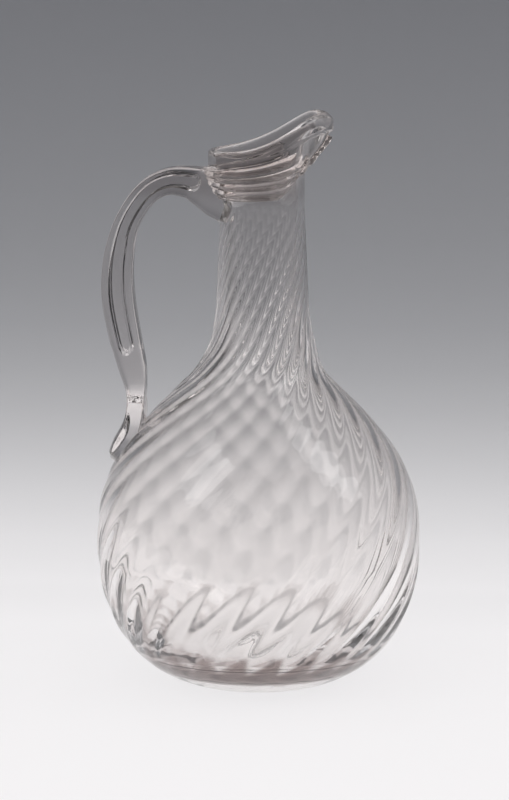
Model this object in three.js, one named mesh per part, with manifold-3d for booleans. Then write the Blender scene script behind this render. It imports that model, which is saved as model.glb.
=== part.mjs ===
// A blown glass carafe: a round body with ribs twisted to the right, a slim neck, a mouth drawn out
// into a rising spout, threads of glass wound round under the lip and a drawn handle with a
// thumb-pressed pad.
//
// Millimetres, +Z up. The origin is on the axis of the body, on the surface the carafe stands on.
// The spout points along +X and the handle along -X.

import * as THREE from 'three';
import { mergeVertices } from 'three/addons/utils/BufferGeometryUtils.js';
import Module from 'manifold-3d';

const wasm = await Module();
wasm.setup();

// Pieces that are fused on the real carafe lie this far apart here
const SEAT_GAP = 0.3;

// Body and neck, outer form over the crests of the ribs
const FOOT_RADIUS = 22; // outer edge of the flat ring that the carafe rests on
const FOOT_WIDTH = 4;
const KICK_HEIGHT = 4; // how far the middle of the base is pushed up
const BELLY_RADIUS = 66.9;
const BELLY_HEIGHT = 58.5;
const SHOULDER_RADIUS = 30; // where the shoulder turns into the neck
const SHOULDER_HEIGHT = 126;
const SHOULDER_SLOPE = 1.06; // radius lost per height there
const NECK_FOOT_RADIUS = 18.9;
const NECK_FOOT_HEIGHT = 159;
const NECK_RADIUS = 17.1;
const NECK_HEIGHT = 197; // where the neck ends and the mouth starts to open
const NECK_LEAN = 1.7; // the neck stands this far off the body's axis, towards the spout
const LEAN_END_DEPTH = 16; // how far below the foot of the neck it has leant that far
const LEAN_START_HEIGHT = SHOULDER_HEIGHT;
const LEAN_END_HEIGHT = NECK_FOOT_HEIGHT - LEAN_END_DEPTH;

// How far the curves of the outline run straight on before they turn, as shares
const FOOT_RUN = 0.39; // of the way from the foot out to the belly
const BELLY_RUN_DOWN = 0.74; // of the belly's height
const BELLY_RUN_UP = 0.4; // of the height from belly to shoulder
const SHOULDER_RUN_DOWN = 0.58; // of the same
const SHOULDER_RUN_UP = 0.24; // of the height from shoulder to neck
const NECK_RUN_DOWN = 0.42; // of the neck's length
const NECK_RUN_UP = 0.3; // of the flare's height
const MOUTH_RUN_DOWN = 0.5; // of the same

// Mouth and spout. Heights are those of the round mouth, before the spout is drawn up.
const MOUTH_RADIUS = 22.2;
const FLARE_LENGTH = 17; // from the top of the neck to the upright lip
const UPRIGHT_LENGTH = 6.5; // from there to the top of the lip at the back
const MOUTH_HEIGHT = NECK_HEIGHT + FLARE_LENGTH;
const LIP_HEIGHT = MOUTH_HEIGHT + UPRIGHT_LENGTH;
const SPOUT_TURN = 7; // degrees that the spout stands off the line of the handle
const SPOUT_RISE = 18.4; // how much higher the lip would stand at the spout without its notch
const SPOUT_RISE_POWER = 2.4; // how closely the rise keeps to the spout's side
const SPOUT_NOTCH = 4.7; // depth of the pouring notch at the tip
const SPOUT_NOTCH_WIDTH = 22; // degrees from its middle to where it has all but gone
const SPOUT_REACH = 4.3; // how far the tip is drawn out past the round mouth
const SPOUT_REACH_POWER = 5; // how narrow the drawn part is
const SPOUT_THROAT_DEPTH = 15; // this far below the lip that side is only as wide as the neck
const SPOUT_FULL_DEPTH = 4.2; // and from this far below it up, it stands out in full
const SPOUT_THROAT_HEIGHT = LIP_HEIGHT - SPOUT_THROAT_DEPTH;
const SPOUT_FULL_HEIGHT = LIP_HEIGHT - SPOUT_FULL_DEPTH;
const SPOUT_BEAD = 2.2; // the tip's edge is gathered into a bead that stands out further
const SPOUT_BEAD_EDGE = 1.5; // height over which the bead comes out

// Glass thickness. A heavy ring has settled in the heel, where the base turns up, and thins out upwards.
const BASE_WALL = 2.8;
const HEEL_WALL = 5.6;
const HEEL_START = 0.16; // height in the bowl where the ring starts, as a share of the belly's
const HEEL_PEAK = 0.28; // where it is thickest
const HEEL_END = 0.7; // and where it has thinned out
const BODY_WALL = 2.3;
const NECK_WALL = 2.6;
const LIP_WALL = 3.0;
const SPOUT_WALL = 5.6; // the tip is left thick
const WALLS = [
  [0, BASE_WALL],
  [BELLY_HEIGHT * HEEL_START, BASE_WALL],
  [BELLY_HEIGHT * HEEL_PEAK, HEEL_WALL],
  [BELLY_HEIGHT * HEEL_END, BODY_WALL],
  [SHOULDER_HEIGHT, BODY_WALL],
  [NECK_FOOT_HEIGHT, NECK_WALL],
  [MOUTH_HEIGHT, LIP_WALL],
];

// Ribs, pressed by a ribbed mould and then twisted
const RIB_COUNT = 24;
const RIB_DEPTH = 0.9; // where they are deepest
// How steeply a rib winds round, as the sideways run for each millimetre up the glass, by height
const RIB_LEAN = [
  [0, 0.68],
  [40, 0.7],
  [85, 0.86],
  [115, 0.72],
  [139, 0.44],
  [187, 0.6],
  [201, 0.5],
  [220, 0],
];
// Share of the full depth, by height: blowing has stretched the ribs flatter round the belly, and they
// die out in the base and under the wound glass
const RIB_FADE = [
  [0, 0],
  [3, 0.4],
  [12, 1],
  [BELLY_HEIGHT / 2, 0.85],
  [BELLY_HEIGHT, 0.65],
  [(BELLY_HEIGHT + SHOULDER_HEIGHT) / 2, 0.65],
  [SHOULDER_HEIGHT, 1],
  [(SHOULDER_HEIGHT + NECK_FOOT_HEIGHT) / 2, 1],
  [NECK_FOOT_HEIGHT, 0.65],
  [(NECK_FOOT_HEIGHT + NECK_HEIGHT) / 2, 0.4],
  [NECK_HEIGHT, 0],
];

// A heavy thread of hot glass laid round the mouth, which forms a ledge under the lip
const LEDGE_BELOW_LIP = 7;
const LEDGE_WIDTH = 3.8; // up the glass
const LEDGE_TOP = LIP_HEIGHT - LEDGE_BELOW_LIP;
const LEDGE_BOTTOM = LEDGE_TOP - LEDGE_WIDTH;
const LEDGE_DEPTH = 1.8; // how far it stands out
const LEDGE_OPENING = 56; // degrees each side of the spout that it leaves free

// Thinner turns wound below the ledge and melted together
const THREADS_WIDTH = 8.9;
const THREADS_TOP = LEDGE_BOTTOM - SEAT_GAP;
const THREADS_BOTTOM = THREADS_TOP - THREADS_WIDTH;
const THREAD_TURNS = 3;
const THREAD_DEPTH_LOW = 1.1;
const THREAD_DEPTH_HIGH = 1.7;
const THREAD_GROOVE = 0.6; // depth of the grooves where the turns meet
const THREAD_OPENING = 41;
const THREAD_SWEEP = 5; // how far the lowest turn climbs towards its ends
const THREAD_SWEEP_LENGTH = 33; // degrees over which it does

// Seating of both on the neck
const TRAIL_TAPER = 9; // degrees over which the ends thin out
const TRAIL_END = 0.35; // share of the depth that is left at the very end
const TRAIL_LIFT = 0.25; // how far off its seat the edge of a wound band stands
const TRAIL_EDGE = SEAT_GAP + TRAIL_LIFT;
const TRAIL_ROOT = 1.2; // how deep a band is built before its seat is cut

// Handle, a rod flattened on its sides. Each station gives its height as a share of the way from
// the pad's tip to the root, how far its middle stands out from the glass as a share of the reach, its
// thickness seen from the side and its width across as shares of the rod's (in the pad, the pad's width).
const ROOT_ABOVE_NECK = 4.2;
const TIP_BELOW_SHOULDER = 34.2;
const HANDLE_ROOT_HEIGHT = NECK_HEIGHT + ROOT_ABOVE_NECK;
const HANDLE_TIP_HEIGHT = SHOULDER_HEIGHT - TIP_BELOW_SHOULDER;
const HANDLE_REACH = 41; // from the neck to the middle of the rod at its furthest
const ROD_THICKNESS = 11;
const ROD_WIDTH = 11;
const PAD_WIDTH = 24;
const ROD_STATIONS = [
  { share: 1, out: -0.11, thick: 1.955, wide: 1.545 },
  { share: 1.018, out: 0.002, thick: 1.764, wide: 1.5 },
  { share: 1.035, out: 0.102, thick: 1.455, wide: 1.364 },
  { share: 1.051, out: 0.22, thick: 1.164, wide: 1.182 },
  { share: 1.054, out: 0.42, thick: 0.991, wide: 1.091 },
  { share: 1.018, out: 0.663, thick: 0.918, wide: 1.036 },
  { share: 0.902, out: 0.924, thick: 0.918, wide: 1 },
  { share: 0.764, out: 1, thick: 1.091, wide: 1 },
  { share: 0.623, out: 0.99, thick: 1.191, wide: 1 },
  { share: 0.484, out: 0.885, thick: 1.155, wide: 1 },
  { share: 0.354, out: 0.634, thick: 1, wide: 1 },
  { share: 0.271, out: 0.385, thick: 0.745, wide: 1.036 },
];
const PAD_STATIONS = [
  { share: 0.236, out: 0.288, thick: 0.655, wide: 0.542 },
  { share: 0.207, out: 0.21, thick: 0.655, wide: 0.75 },
  { share: 0.144, out: 0.078, thick: 0.709, wide: 1 },
  { share: 0.073, out: 0.01, thick: 0.782, wide: 1 },
  { share: 0.018, out: 0.007, thick: 0.582, wide: 0.667 },
  { share: 0, out: 0.017, thick: 0.2, wide: 0.25 },
];
const ROD_SQUARENESS = 5; // 2 would be an oval section, and more is squarer
const PAD_SQUARENESS = 2.2;
const SQUARE_END = [9, 12]; // stations between which the one turns into the other
const HANDLE_FLUTE = 0.6; // depth of the long hollow down each side of the rod
const FLUTE_START = [2.5, 4]; // stations between which the hollow deepens
const FLUTE_END = [8, 10]; // and between which it runs out

// The oval print pressed into the pad
const THUMB_LENGTH = 20;
const THUMB_WIDTH = 12.5;
const THUMB_DEPTH = 3.7;
const THUMB_SHARE = 0.085; // its height, as a share like the stations' ones

// Strip of glass under the spout
const STRIP_WIDTH = 5;
const STRIP_THICKNESS = 2.2;
const STRIP_LENGTH = 8.1;
const STRIP_BELOW_BEAD = 1;
const STRIP_TOP = SPOUT_FULL_HEIGHT - STRIP_BELOW_BEAD;
const STRIP_BOTTOM = STRIP_TOP - STRIP_LENGTH;
const STRIP_ROUNDING = 0.15; // share of its length that its free tip takes to round off
const STRIP_ROOT = 1; // how deep it is built before its seat is cut

// The drop that ends the wound thread beside the strip
const DROP_BELOW_LIP = 12.6;
const DROP_HEIGHT = LIP_HEIGHT - DROP_BELOW_LIP;
const DROP_ANGLE = -35; // degrees from the spout
const DROP_LENGTH = 8;
const DROP_WIDTH = 4;
const DROP_OUT = 0.5; // how far its middle stands off the glass

// Scar of the iron that held the base while the mouth was worked
const PONTIL_RADIUS = 8;
const PONTIL_THICKNESS = 1.4;
const PONTIL_EDGE = [0.9, 0.7]; // where its broken edge ends and its flat starts, as shares

// Facets
const ROUND_SEGMENTS = RIB_COUNT * 3;
const LIP_FACETS = 4;
const KICK_ROWS = 5;
const TRAIL_SEGMENTS = 34;
const ROD_FACETS = 16;
const ROD_SEGMENTS = 32;

const blownGlass = glass('blown_glass', '#d9d5d3');
const trailedGlass = glass('trailed_glass', '#cfc8c5');
const drawnGlass = glass('drawn_glass', '#cfcdcd');

function glass(name, color) {
  const material = new THREE.MeshStandardMaterial({ color, roughness: 0.04, metalness: 0 });
  material.name = name;
  material.transparent = true;
  material.opacity = 0.45;
  return material;
}

const { degToRad: degrees, smoothstep: smooth, lerp, clamp, mapLinear } = THREE.MathUtils;
const point = (x, y) => new THREE.Vector2(x, y);
const bezier = (a, b, c, d) => new THREE.CubicBezierCurve(a, b, c, d);

// Value at a height in a list of [height, value] stops, joined by straight lines
function valueAt(stops, height) {
  if (height <= stops[0][0]) return stops[0][1];
  for (let i = 1; i < stops.length; i += 1) {
    const [low, lowValue] = stops[i - 1];
    const [high, highValue] = stops[i];
    if (height <= high) return mapLinear(height, low, high, lowValue, highValue);
  }
  return stops[stops.length - 1][1];
}

// Underside of the pushed-up base
function kickHeight(radius) {
  const reach = FOOT_RADIUS - FOOT_WIDTH;
  return (KICK_HEIGHT * (1 + Math.cos((Math.PI * radius) / reach))) / 2;
}

function kickOutline() {
  const points = [];
  for (let i = 0; i <= KICK_ROWS; i += 1) {
    const radius = ((FOOT_RADIUS - FOOT_WIDTH) * i) / KICK_ROWS;
    points.push(point(radius, kickHeight(radius)));
  }
  return points;
}

// Turned outline of the outside, from the outer edge of the foot up to the lip
function outsideOutline() {
  const belly = point(BELLY_RADIUS, BELLY_HEIGHT);
  const shoulder = point(SHOULDER_RADIUS, SHOULDER_HEIGHT);
  const slope = point(-SHOULDER_SLOPE, 1).normalize();
  const neckFoot = point(NECK_FOOT_RADIUS, NECK_FOOT_HEIGHT);
  const neckTop = point(NECK_RADIUS, NECK_HEIGHT);
  const taper = neckTop.clone().sub(neckFoot);
  const flare = MOUTH_HEIGHT - NECK_HEIGHT;
  const mouth = point(MOUTH_RADIUS, MOUTH_HEIGHT);
  const lipFoot = point(MOUTH_RADIUS, LIP_HEIGHT - LIP_WALL);
  const bodyHeight = SHOULDER_HEIGHT - BELLY_HEIGHT;
  const lowerBowl = bezier(
    point(FOOT_RADIUS, 0),
    point(lerp(FOOT_RADIUS, BELLY_RADIUS, FOOT_RUN), 0),
    point(BELLY_RADIUS, BELLY_HEIGHT * (1 - BELLY_RUN_DOWN)),
    belly,
  );
  const upperBowl = bezier(
    belly,
    point(BELLY_RADIUS, BELLY_HEIGHT + BELLY_RUN_UP * bodyHeight),
    shoulder.clone().addScaledVector(slope, -SHOULDER_RUN_DOWN * bodyHeight),
    shoulder,
  );
  const neckRoot = bezier(
    shoulder,
    shoulder.clone().addScaledVector(slope, SHOULDER_RUN_UP * (NECK_FOOT_HEIGHT - SHOULDER_HEIGHT)),
    neckFoot.clone().addScaledVector(taper, -NECK_RUN_DOWN),
    neckFoot,
  );
  const neck = new THREE.LineCurve(neckFoot, neckTop);
  const mouthFlare = bezier(
    neckTop,
    neckTop.clone().add(point(0, NECK_RUN_UP * flare)),
    mouth.clone().sub(point(0, MOUTH_RUN_DOWN * flare)),
    mouth,
  );
  const upright = new THREE.LineCurve(mouth, lipFoot);
  const rows = [
    [lowerBowl, 9],
    [upperBowl, 9],
    [neckRoot, 5],
    [neck, 4],
    [mouthFlare, 4],
    [upright, 3],
  ];
  const points = [point(FOOT_RADIUS, 0)];
  for (const [curve, count] of rows) points.push(...curve.getSpacedPoints(count).slice(1));
  return points;
}

// The two edges of the lip, rounded by the fire
function lipOutline() {
  const radius = LIP_WALL / 2;
  const points = [];
  for (let i = 0; i <= LIP_FACETS; i += 1) {
    const turn = (Math.PI * i) / LIP_FACETS;
    points.push(point(
      MOUTH_RADIUS - radius + radius * Math.cos(turn),
      LIP_HEIGHT - radius + radius * Math.sin(turn),
    ));
  }
  return points;
}

// The inside of the glass: the outside moved in by the wall, with a row for each one in the heel and for
// every second one elsewhere
function insideOutline(outside) {
  const points = [];
  for (let i = 0; i < outside.length; i += 1) {
    const { x: radius, y: height } = outside[i];
    const isHeel = radius > FOOT_RADIUS && height < BELLY_HEIGHT * HEEL_END / 2;
    if (i % 2 && !isHeel) continue;
    const before = outside[Math.max(i - 1, 0)];
    const after = outside[Math.min(i + 1, outside.length - 1)];
    const run = after.clone().sub(before).normalize();
    const inward = i === 0 ? point(0, 1) : point(-run.y, run.x);
    points.push(outside[i].clone().addScaledVector(inward, valueAt(WALLS, outside[i].y)));
  }
  return points;
}

const OUTSIDE = outsideOutline();
const RADII = OUTSIDE.map((p) => [p.y, p.x]);
const outsideRadius = (height) => valueAt(RADII, height);

// Angle that the ribs have wound round at each row of the outside
const WINDING = OUTSIDE.map((p) => [p.y, 0]);
for (let i = 1; i < OUTSIDE.length; i += 1) {
  const run = OUTSIDE[i].distanceTo(OUTSIDE[i - 1]);
  const radius = (OUTSIDE[i].x + OUTSIDE[i - 1].x) / 2;
  const height = (OUTSIDE[i].y + OUTSIDE[i - 1].y) / 2;
  WINDING[i][1] = WINDING[i - 1][1] + (valueAt(RIB_LEAN, height) * run) / radius;
}
const winding = (height) => valueAt(WINDING, height);

const leanAt = (height) => NECK_LEAN * smooth(height, LEAN_START_HEIGHT, LEAN_END_HEIGHT);

// Places a point of the turned form where it lies once the ribs are pressed in and the mouth is drawn.
// "across" is 0 on the ribbed outside of the glass, and 1 on the inside and under the base.
function worked(radius, height, angle, across = 0) {
  const turn = angle - degrees(SPOUT_TURN);
  const fromSpout = Math.atan2(Math.sin(turn), Math.cos(turn));
  const side = (1 + Math.cos(turn)) / 2;
  const opened = clamp((height - NECK_HEIGHT) / (LIP_HEIGHT - NECK_HEIGHT), 0, 1);
  const notch = SPOUT_NOTCH * Math.exp(-((fromSpout / degrees(SPOUT_NOTCH_WIDTH)) ** 2));
  const rise = opened * (SPOUT_RISE * side ** SPOUT_RISE_POWER - notch);
  const drawn = smooth(height, SPOUT_THROAT_HEIGHT, SPOUT_FULL_HEIGHT);
  const edge = SPOUT_FULL_HEIGHT + SPOUT_BEAD_EDGE / 3;
  const gathered = smooth(height, edge - SPOUT_BEAD_EDGE, edge);
  const thickening = across * (SPOUT_WALL - LIP_WALL);
  const throat = outsideRadius(Math.max(height, NECK_HEIGHT)) - NECK_RADIUS;
  const reach = drawn * (SPOUT_REACH - thickening) + gathered * SPOUT_BEAD - (1 - drawn) * throat;
  const hollow = (1 - Math.cos(RIB_COUNT * (angle - winding(height)))) / 2;
  const groove = RIB_DEPTH * valueAt(RIB_FADE, height) * hollow * (1 - across);
  const r = radius + reach * side ** SPOUT_REACH_POWER - groove;
  return new THREE.Vector3(leanAt(height) + r * Math.cos(angle), r * Math.sin(angle), height + rise);
}

// A turned form with its rows wound along the ribs and every point placed by worked()
function blownForm(outline, isSmooth) {
  const geometry = new THREE.LatheGeometry(outline, ROUND_SEGMENTS);
  const position = geometry.attributes.position;
  for (let i = 0; i < position.count; i += 1) {
    const row = i % outline.length;
    const segment = Math.floor(i / outline.length) % ROUND_SEGMENTS;
    const { x: radius, y: height } = outline[row];
    const angle = (segment * 2 * Math.PI) / ROUND_SEGMENTS + winding(height);
    const spot = radius < 1e-6
      ? new THREE.Vector3(0, 0, height)
      : worked(radius, height, angle, isSmooth(row) ? 1 : 0);
    position.setXYZ(i, spot.x, spot.y, spot.z);
  }
  geometry.computeVertexNormals();
  return geometry;
}

function vessel() {
  const kick = kickOutline();
  const lip = lipOutline();
  const inside = insideOutline([...kick, ...OUTSIDE]).reverse();
  const outline = [...kick, ...OUTSIDE, ...lip, ...inside];
  outline[outline.length - 1].x = 0;
  const firstInside = kick.length + OUTSIDE.length + Math.ceil(lip.length / 2);
  return blownForm(outline, (row) => row < kick.length || row >= firstInside);
}

// The outside of the vessel, grown by a gap and filled, to cut what is fused onto it
function vesselEnvelope(gap) {
  const grown = OUTSIDE.map((p) => point(p.x + gap, p.y));
  const top = LIP_HEIGHT + gap;
  const outline = [point(0, 0), ...grown, point(MOUTH_RADIUS + gap, top), point(0, top)];
  return toSolid(blownForm(outline, () => false));
}

function toSolid(geometry) {
  const bare = geometry.clone();
  bare.deleteAttribute('normal');
  bare.deleteAttribute('uv');
  const merged = mergeVertices(bare, 1e-4);
  const triVerts = [];
  const index = merged.index.array;
  for (let i = 0; i < index.length; i += 3) {
    const [a, b, c] = [index[i], index[i + 1], index[i + 2]];
    if (a !== b && b !== c && c !== a) triVerts.push(a, b, c);
  }
  return new wasm.Manifold(new wasm.Mesh({
    numProp: 3,
    vertProperties: new Float32Array(merged.attributes.position.array),
    triVerts: new Uint32Array(triVerts),
  }));
}

function toGeometry(solid) {
  const mesh = solid.getMesh();
  const geometry = new THREE.BufferGeometry();
  geometry.setAttribute('position', new THREE.Float32BufferAttribute(mesh.vertProperties, 3));
  geometry.setIndex(new THREE.Uint32BufferAttribute(mesh.triVerts, 1));
  geometry.computeVertexNormals();
  return geometry;
}

// Joins equal sections into one closed form, with the first and last one filled. "flat" is the same
// section laid out in a plane.
function loft(sections, flat) {
  const count = flat.length;
  const positions = sections.flat().flatMap((p) => [p.x, p.y, p.z]);
  const index = [];
  for (let s = 0; s < sections.length - 1; s += 1) {
    for (let i = 0; i < count; i += 1) {
      const a = s * count + i;
      const b = s * count + ((i + 1) % count);
      index.push(a, b, b + count, a, b + count, a + count);
    }
  }
  const last = (sections.length - 1) * count;
  for (const [a, b, c] of THREE.ShapeUtils.triangulateShape(flat, [])) {
    index.push(c, b, a);
    index.push(last + a, last + b, last + c);
  }
  const geometry = new THREE.BufferGeometry();
  geometry.setAttribute('position', new THREE.Float32BufferAttribute(positions, 3));
  geometry.setIndex(index);
  geometry.computeVertexNormals();
  return geometry;
}

// A band of glass wound round the mouth, open towards the spout. "depthAt" gives its depth at a share
// of its height, and "bottomAt" the height of its lower edge at an angle from its end. With a gap it
// is grown for cutting the handle; without one it is seated on the glass.
function woundBand({ top, opening, rows, depthAt, bottomAt, gap }) {
  const start = degrees(opening) - gap / MOUTH_RADIUS;
  const sections = [];
  let flat;
  for (let i = 0; i <= TRAIL_SEGMENTS; i += 1) {
    const angle = lerp(start, 2 * Math.PI - start, i / TRAIL_SEGMENTS);
    const fromEnd = Math.min(angle - start, 2 * Math.PI - start - angle);
    const taper = lerp(TRAIL_END, 1, smooth(fromEnd, 0, degrees(TRAIL_TAPER)));
    const bottom = bottomAt(fromEnd) - gap;
    const section = [];
    for (let j = 0; j <= rows; j += 1) {
      const height = lerp(bottom, top + gap, j / rows);
      section.push([height, TRAIL_EDGE + gap + taper * depthAt(j / rows, angle)]);
    }
    section.push([top + gap, -TRAIL_ROOT], [(top + bottom) / 2, -TRAIL_ROOT], [bottom, -TRAIL_ROOT]);
    flat = section.map(([height, depth]) => point(depth, height));
    sections.unshift(section.map(([height, depth]) => (
      worked(outsideRadius(height) + depth, height, angle + degrees(SPOUT_TURN)))));
  }
  const band = toSolid(loft(sections, flat));
  return gap ? band : band.subtract(vesselEnvelope(SEAT_GAP));
}

function lipLedge(gap = 0) {
  const depthAt = (share) => LEDGE_DEPTH * Math.sqrt(Math.max(1 - Math.abs(2 * share - 1) ** 3, 0));
  const bottomAt = () => LEDGE_BOTTOM;
  return woundBand({ top: LEDGE_TOP, opening: LEDGE_OPENING, rows: 5, depthAt, bottomAt, gap });
}

function neckThreads(gap = 0) {
  const depthAt = (share, angle) => {
    const turn = Math.abs(Math.sin(Math.PI * (share * THREAD_TURNS + angle / (2 * Math.PI))));
    return lerp(THREAD_DEPTH_LOW, THREAD_DEPTH_HIGH, share) - THREAD_GROOVE * (1 - turn);
  };
  const bottomAt = (fromEnd) => (
    THREADS_BOTTOM + THREAD_SWEEP * (1 - smooth(fromEnd, 0, degrees(THREAD_SWEEP_LENGTH))));
  return woundBand({ top: THREADS_TOP, opening: THREAD_OPENING, rows: 9, depthAt, bottomAt, gap });
}

// Middle of the handle at one of its stations
function handleSpot({ share, out }) {
  const height = lerp(HANDLE_TIP_HEIGHT, HANDLE_ROOT_HEIGHT, share);
  return new THREE.Vector3(leanAt(height) - outsideRadius(height) - out * HANDLE_REACH, 0, height);
}

// Middle line and section sizes of the handle, as smooth curves through its stations
const STATIONS = [...ROD_STATIONS, ...PAD_STATIONS];
const HANDLE_LINE = new THREE.CatmullRomCurve3(STATIONS.map(handleSpot), false, 'centripetal');
const HANDLE_SIZES = new THREE.CatmullRomCurve3(STATIONS.map((s, i) => new THREE.Vector3(
  s.thick * ROD_THICKNESS,
  s.wide * (i < ROD_STATIONS.length ? ROD_WIDTH : PAD_WIDTH),
  i,
)), false, 'centripetal');

const aroundRod = (i) => (i * 2 * Math.PI) / ROD_FACETS;

function handleSection(t) {
  const middle = HANDLE_LINE.getPoint(t);
  const run = HANDLE_LINE.getTangent(t);
  const out = new THREE.Vector3(-run.z, 0, run.x);
  const { x: thick, y: wide, z: station } = HANDLE_SIZES.getPoint(t);
  const flute = HANDLE_FLUTE * smooth(station, ...FLUTE_START) * (1 - smooth(station, ...FLUTE_END));
  const squareness = lerp(ROD_SQUARENESS, PAD_SQUARENESS, smooth(station, ...SQUARE_END));
  const swollen = (value) => Math.sign(value) * Math.abs(value) ** (2 / squareness);
  const points = [];
  for (let i = 0; i < ROD_FACETS; i += 1) {
    const turn = aroundRod(i);
    const isSide = Math.abs(Math.cos(turn)) < 1e-6;
    const halfWide = wide / 2 - (isSide ? flute : 0);
    const outward = isSide ? 0 : (thick / 2) * swollen(Math.cos(turn));
    const spot = middle.clone().addScaledVector(out, outward);
    spot.y = halfWide * swollen(Math.sin(turn));
    points.push(spot);
  }
  return points;
}

// The hollow that the thumb leaves, lying on the pad's outer face
function thumbPrint() {
  const above = PAD_STATIONS[2];
  const below = PAD_STATIONS[4];
  const t = (above.share - THUMB_SHARE) / (above.share - below.share);
  const upper = handleSpot(above);
  const lower = handleSpot(below);
  const run = lower.clone().sub(upper).normalize();
  const out = new THREE.Vector3(run.z, 0, -run.x);
  const bulge = THUMB_DEPTH * 2;
  const lift = (lerp(above.thick, below.thick, t) * ROD_THICKNESS) / 2 + bulge - THUMB_DEPTH;
  const middle = upper.lerp(lower, t).addScaledVector(out, lift);
  const geometry = new THREE.SphereGeometry(1, 24, 12);
  geometry.scale(bulge, THUMB_WIDTH / 2, THUMB_LENGTH / 2);
  geometry.rotateY(Math.atan2(run.x, run.z) + Math.PI);
  geometry.translate(middle.x, middle.y, middle.z);
  return toSolid(geometry);
}

function handle() {
  const sections = [];
  for (let i = 0; i <= ROD_SEGMENTS; i += 1) sections.unshift(handleSection(i / ROD_SEGMENTS));
  const flat = sections[0].map((p, i) => point(Math.cos(aroundRod(i)), Math.sin(aroundRod(i))));
  return toSolid(loft(sections, flat))
    .subtract(vesselEnvelope(SEAT_GAP))
    .subtract(lipLedge(SEAT_GAP))
    .subtract(neckThreads(SEAT_GAP))
    .subtract(thumbPrint());
}

// A half-round strip that follows the underside of the spout up to its bead and ends below in a free,
// rounded tip
function spoutStrip() {
  const steps = 10;
  const facets = 7;
  const turns = Array.from({ length: facets + 1 }, (item, j) => (Math.PI * j) / facets);
  const sections = [];
  for (let i = 0; i <= steps; i += 1) {
    const share = i / steps;
    const height = lerp(STRIP_BOTTOM, STRIP_TOP, share);
    const taken = Math.min(share / STRIP_ROUNDING, 1);
    const fullness = Math.sqrt(Math.max(1 - (1 - taken) ** 2, 0.08));
    const swell = (SEAT_GAP + STRIP_THICKNESS + STRIP_ROOT) * fullness;
    sections.unshift(turns.map((turn) => {
      const radius = outsideRadius(height) + swell * Math.sin(turn) - STRIP_ROOT;
      const aside = (STRIP_WIDTH / 2) * fullness * Math.cos(turn);
      return worked(radius, height, degrees(SPOUT_TURN) + aside / radius);
    }));
  }
  const flat = turns.map((turn) => point(Math.cos(turn), Math.sin(turn)));
  return toSolid(loft(sections, flat)).subtract(vesselEnvelope(SEAT_GAP));
}

// The drop, cut to sit on the neck and against the end of the threads
function threadDrop() {
  const angle = degrees(SPOUT_TURN + DROP_ANGLE);
  const middle = worked(outsideRadius(DROP_HEIGHT) + DROP_OUT, DROP_HEIGHT, angle);
  const geometry = new THREE.SphereGeometry(1, 14, 8);
  geometry.scale(DROP_WIDTH / 2, DROP_WIDTH / 2, DROP_LENGTH / 2);
  geometry.translate(middle.x, middle.y, middle.z);
  return toSolid(geometry)
    .subtract(vesselEnvelope(SEAT_GAP))
    .subtract(neckThreads(SEAT_GAP));
}

// A rough disc under the pushed-up base, with a broken edge
function pontilScar() {
  const [edge, flat] = PONTIL_EDGE.map((share) => PONTIL_RADIUS * share);
  const seat = (radius) => kickHeight(radius) - SEAT_GAP;
  const over = [1, 0.75, 0.5, 0.25, 0].map((share) => {
    const radius = PONTIL_RADIUS * share;
    return point(radius, seat(radius));
  });
  const under = [
    point(0, seat(0) - PONTIL_THICKNESS),
    point(flat, seat(flat) - PONTIL_THICKNESS),
    point(edge, seat(PONTIL_RADIUS) - PONTIL_THICKNESS),
  ];
  return new THREE.LatheGeometry([...under, ...over], 18).rotateX(Math.PI / 2);
}

const carafe = new THREE.Group();
carafe.name = 'carafe';
const pieces = [
  ['vessel', vessel(), blownGlass],
  ['lip_ledge', toGeometry(lipLedge()), trailedGlass],
  ['neck_threads', toGeometry(neckThreads()), trailedGlass],
  ['handle', toGeometry(handle()), drawnGlass],
  ['spout_strip', toGeometry(spoutStrip()), trailedGlass],
  ['thread_drop', toGeometry(threadDrop()), trailedGlass],
  ['pontil_scar', pontilScar(), blownGlass],
];
for (const [name, geometry, material] of pieces) {
  const mesh = new THREE.Mesh(geometry, material);
  mesh.name = name;
  carafe.add(mesh);
}

export default carafe;
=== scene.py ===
"""A blown glass carafe with twisted ribs, a drawn spout, wound threads under the lip and a drawn handle.

Every piece is built as its own closed mesh. Where two pieces are fused, both have the same seam faces,
and light passes those as if they weren't there, so the glass looks as it is: melted together.
"""

import math
from types import SimpleNamespace

import bpy
import numpy as np
from bpy.props import FloatProperty, FloatVectorProperty, IntProperty, PointerProperty
from bpy.types import Operator, Panel, PropertyGroup
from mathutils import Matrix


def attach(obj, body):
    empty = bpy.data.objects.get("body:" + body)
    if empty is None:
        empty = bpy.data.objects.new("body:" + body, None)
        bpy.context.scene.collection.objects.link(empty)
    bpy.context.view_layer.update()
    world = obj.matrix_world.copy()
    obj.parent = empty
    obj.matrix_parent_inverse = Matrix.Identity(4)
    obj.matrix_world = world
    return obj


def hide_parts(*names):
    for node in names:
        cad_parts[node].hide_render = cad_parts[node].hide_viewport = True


bl_info = {
    "name": "Blown Glass Carafe",
    "version": (1, 0, 0),
    "blender": (4, 5, 0),
    "location": "View3D > Sidebar > Carafe",
    "description": "Builds a ribbed blown glass carafe piece by piece",
    "category": "Add Mesh",
}

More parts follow.
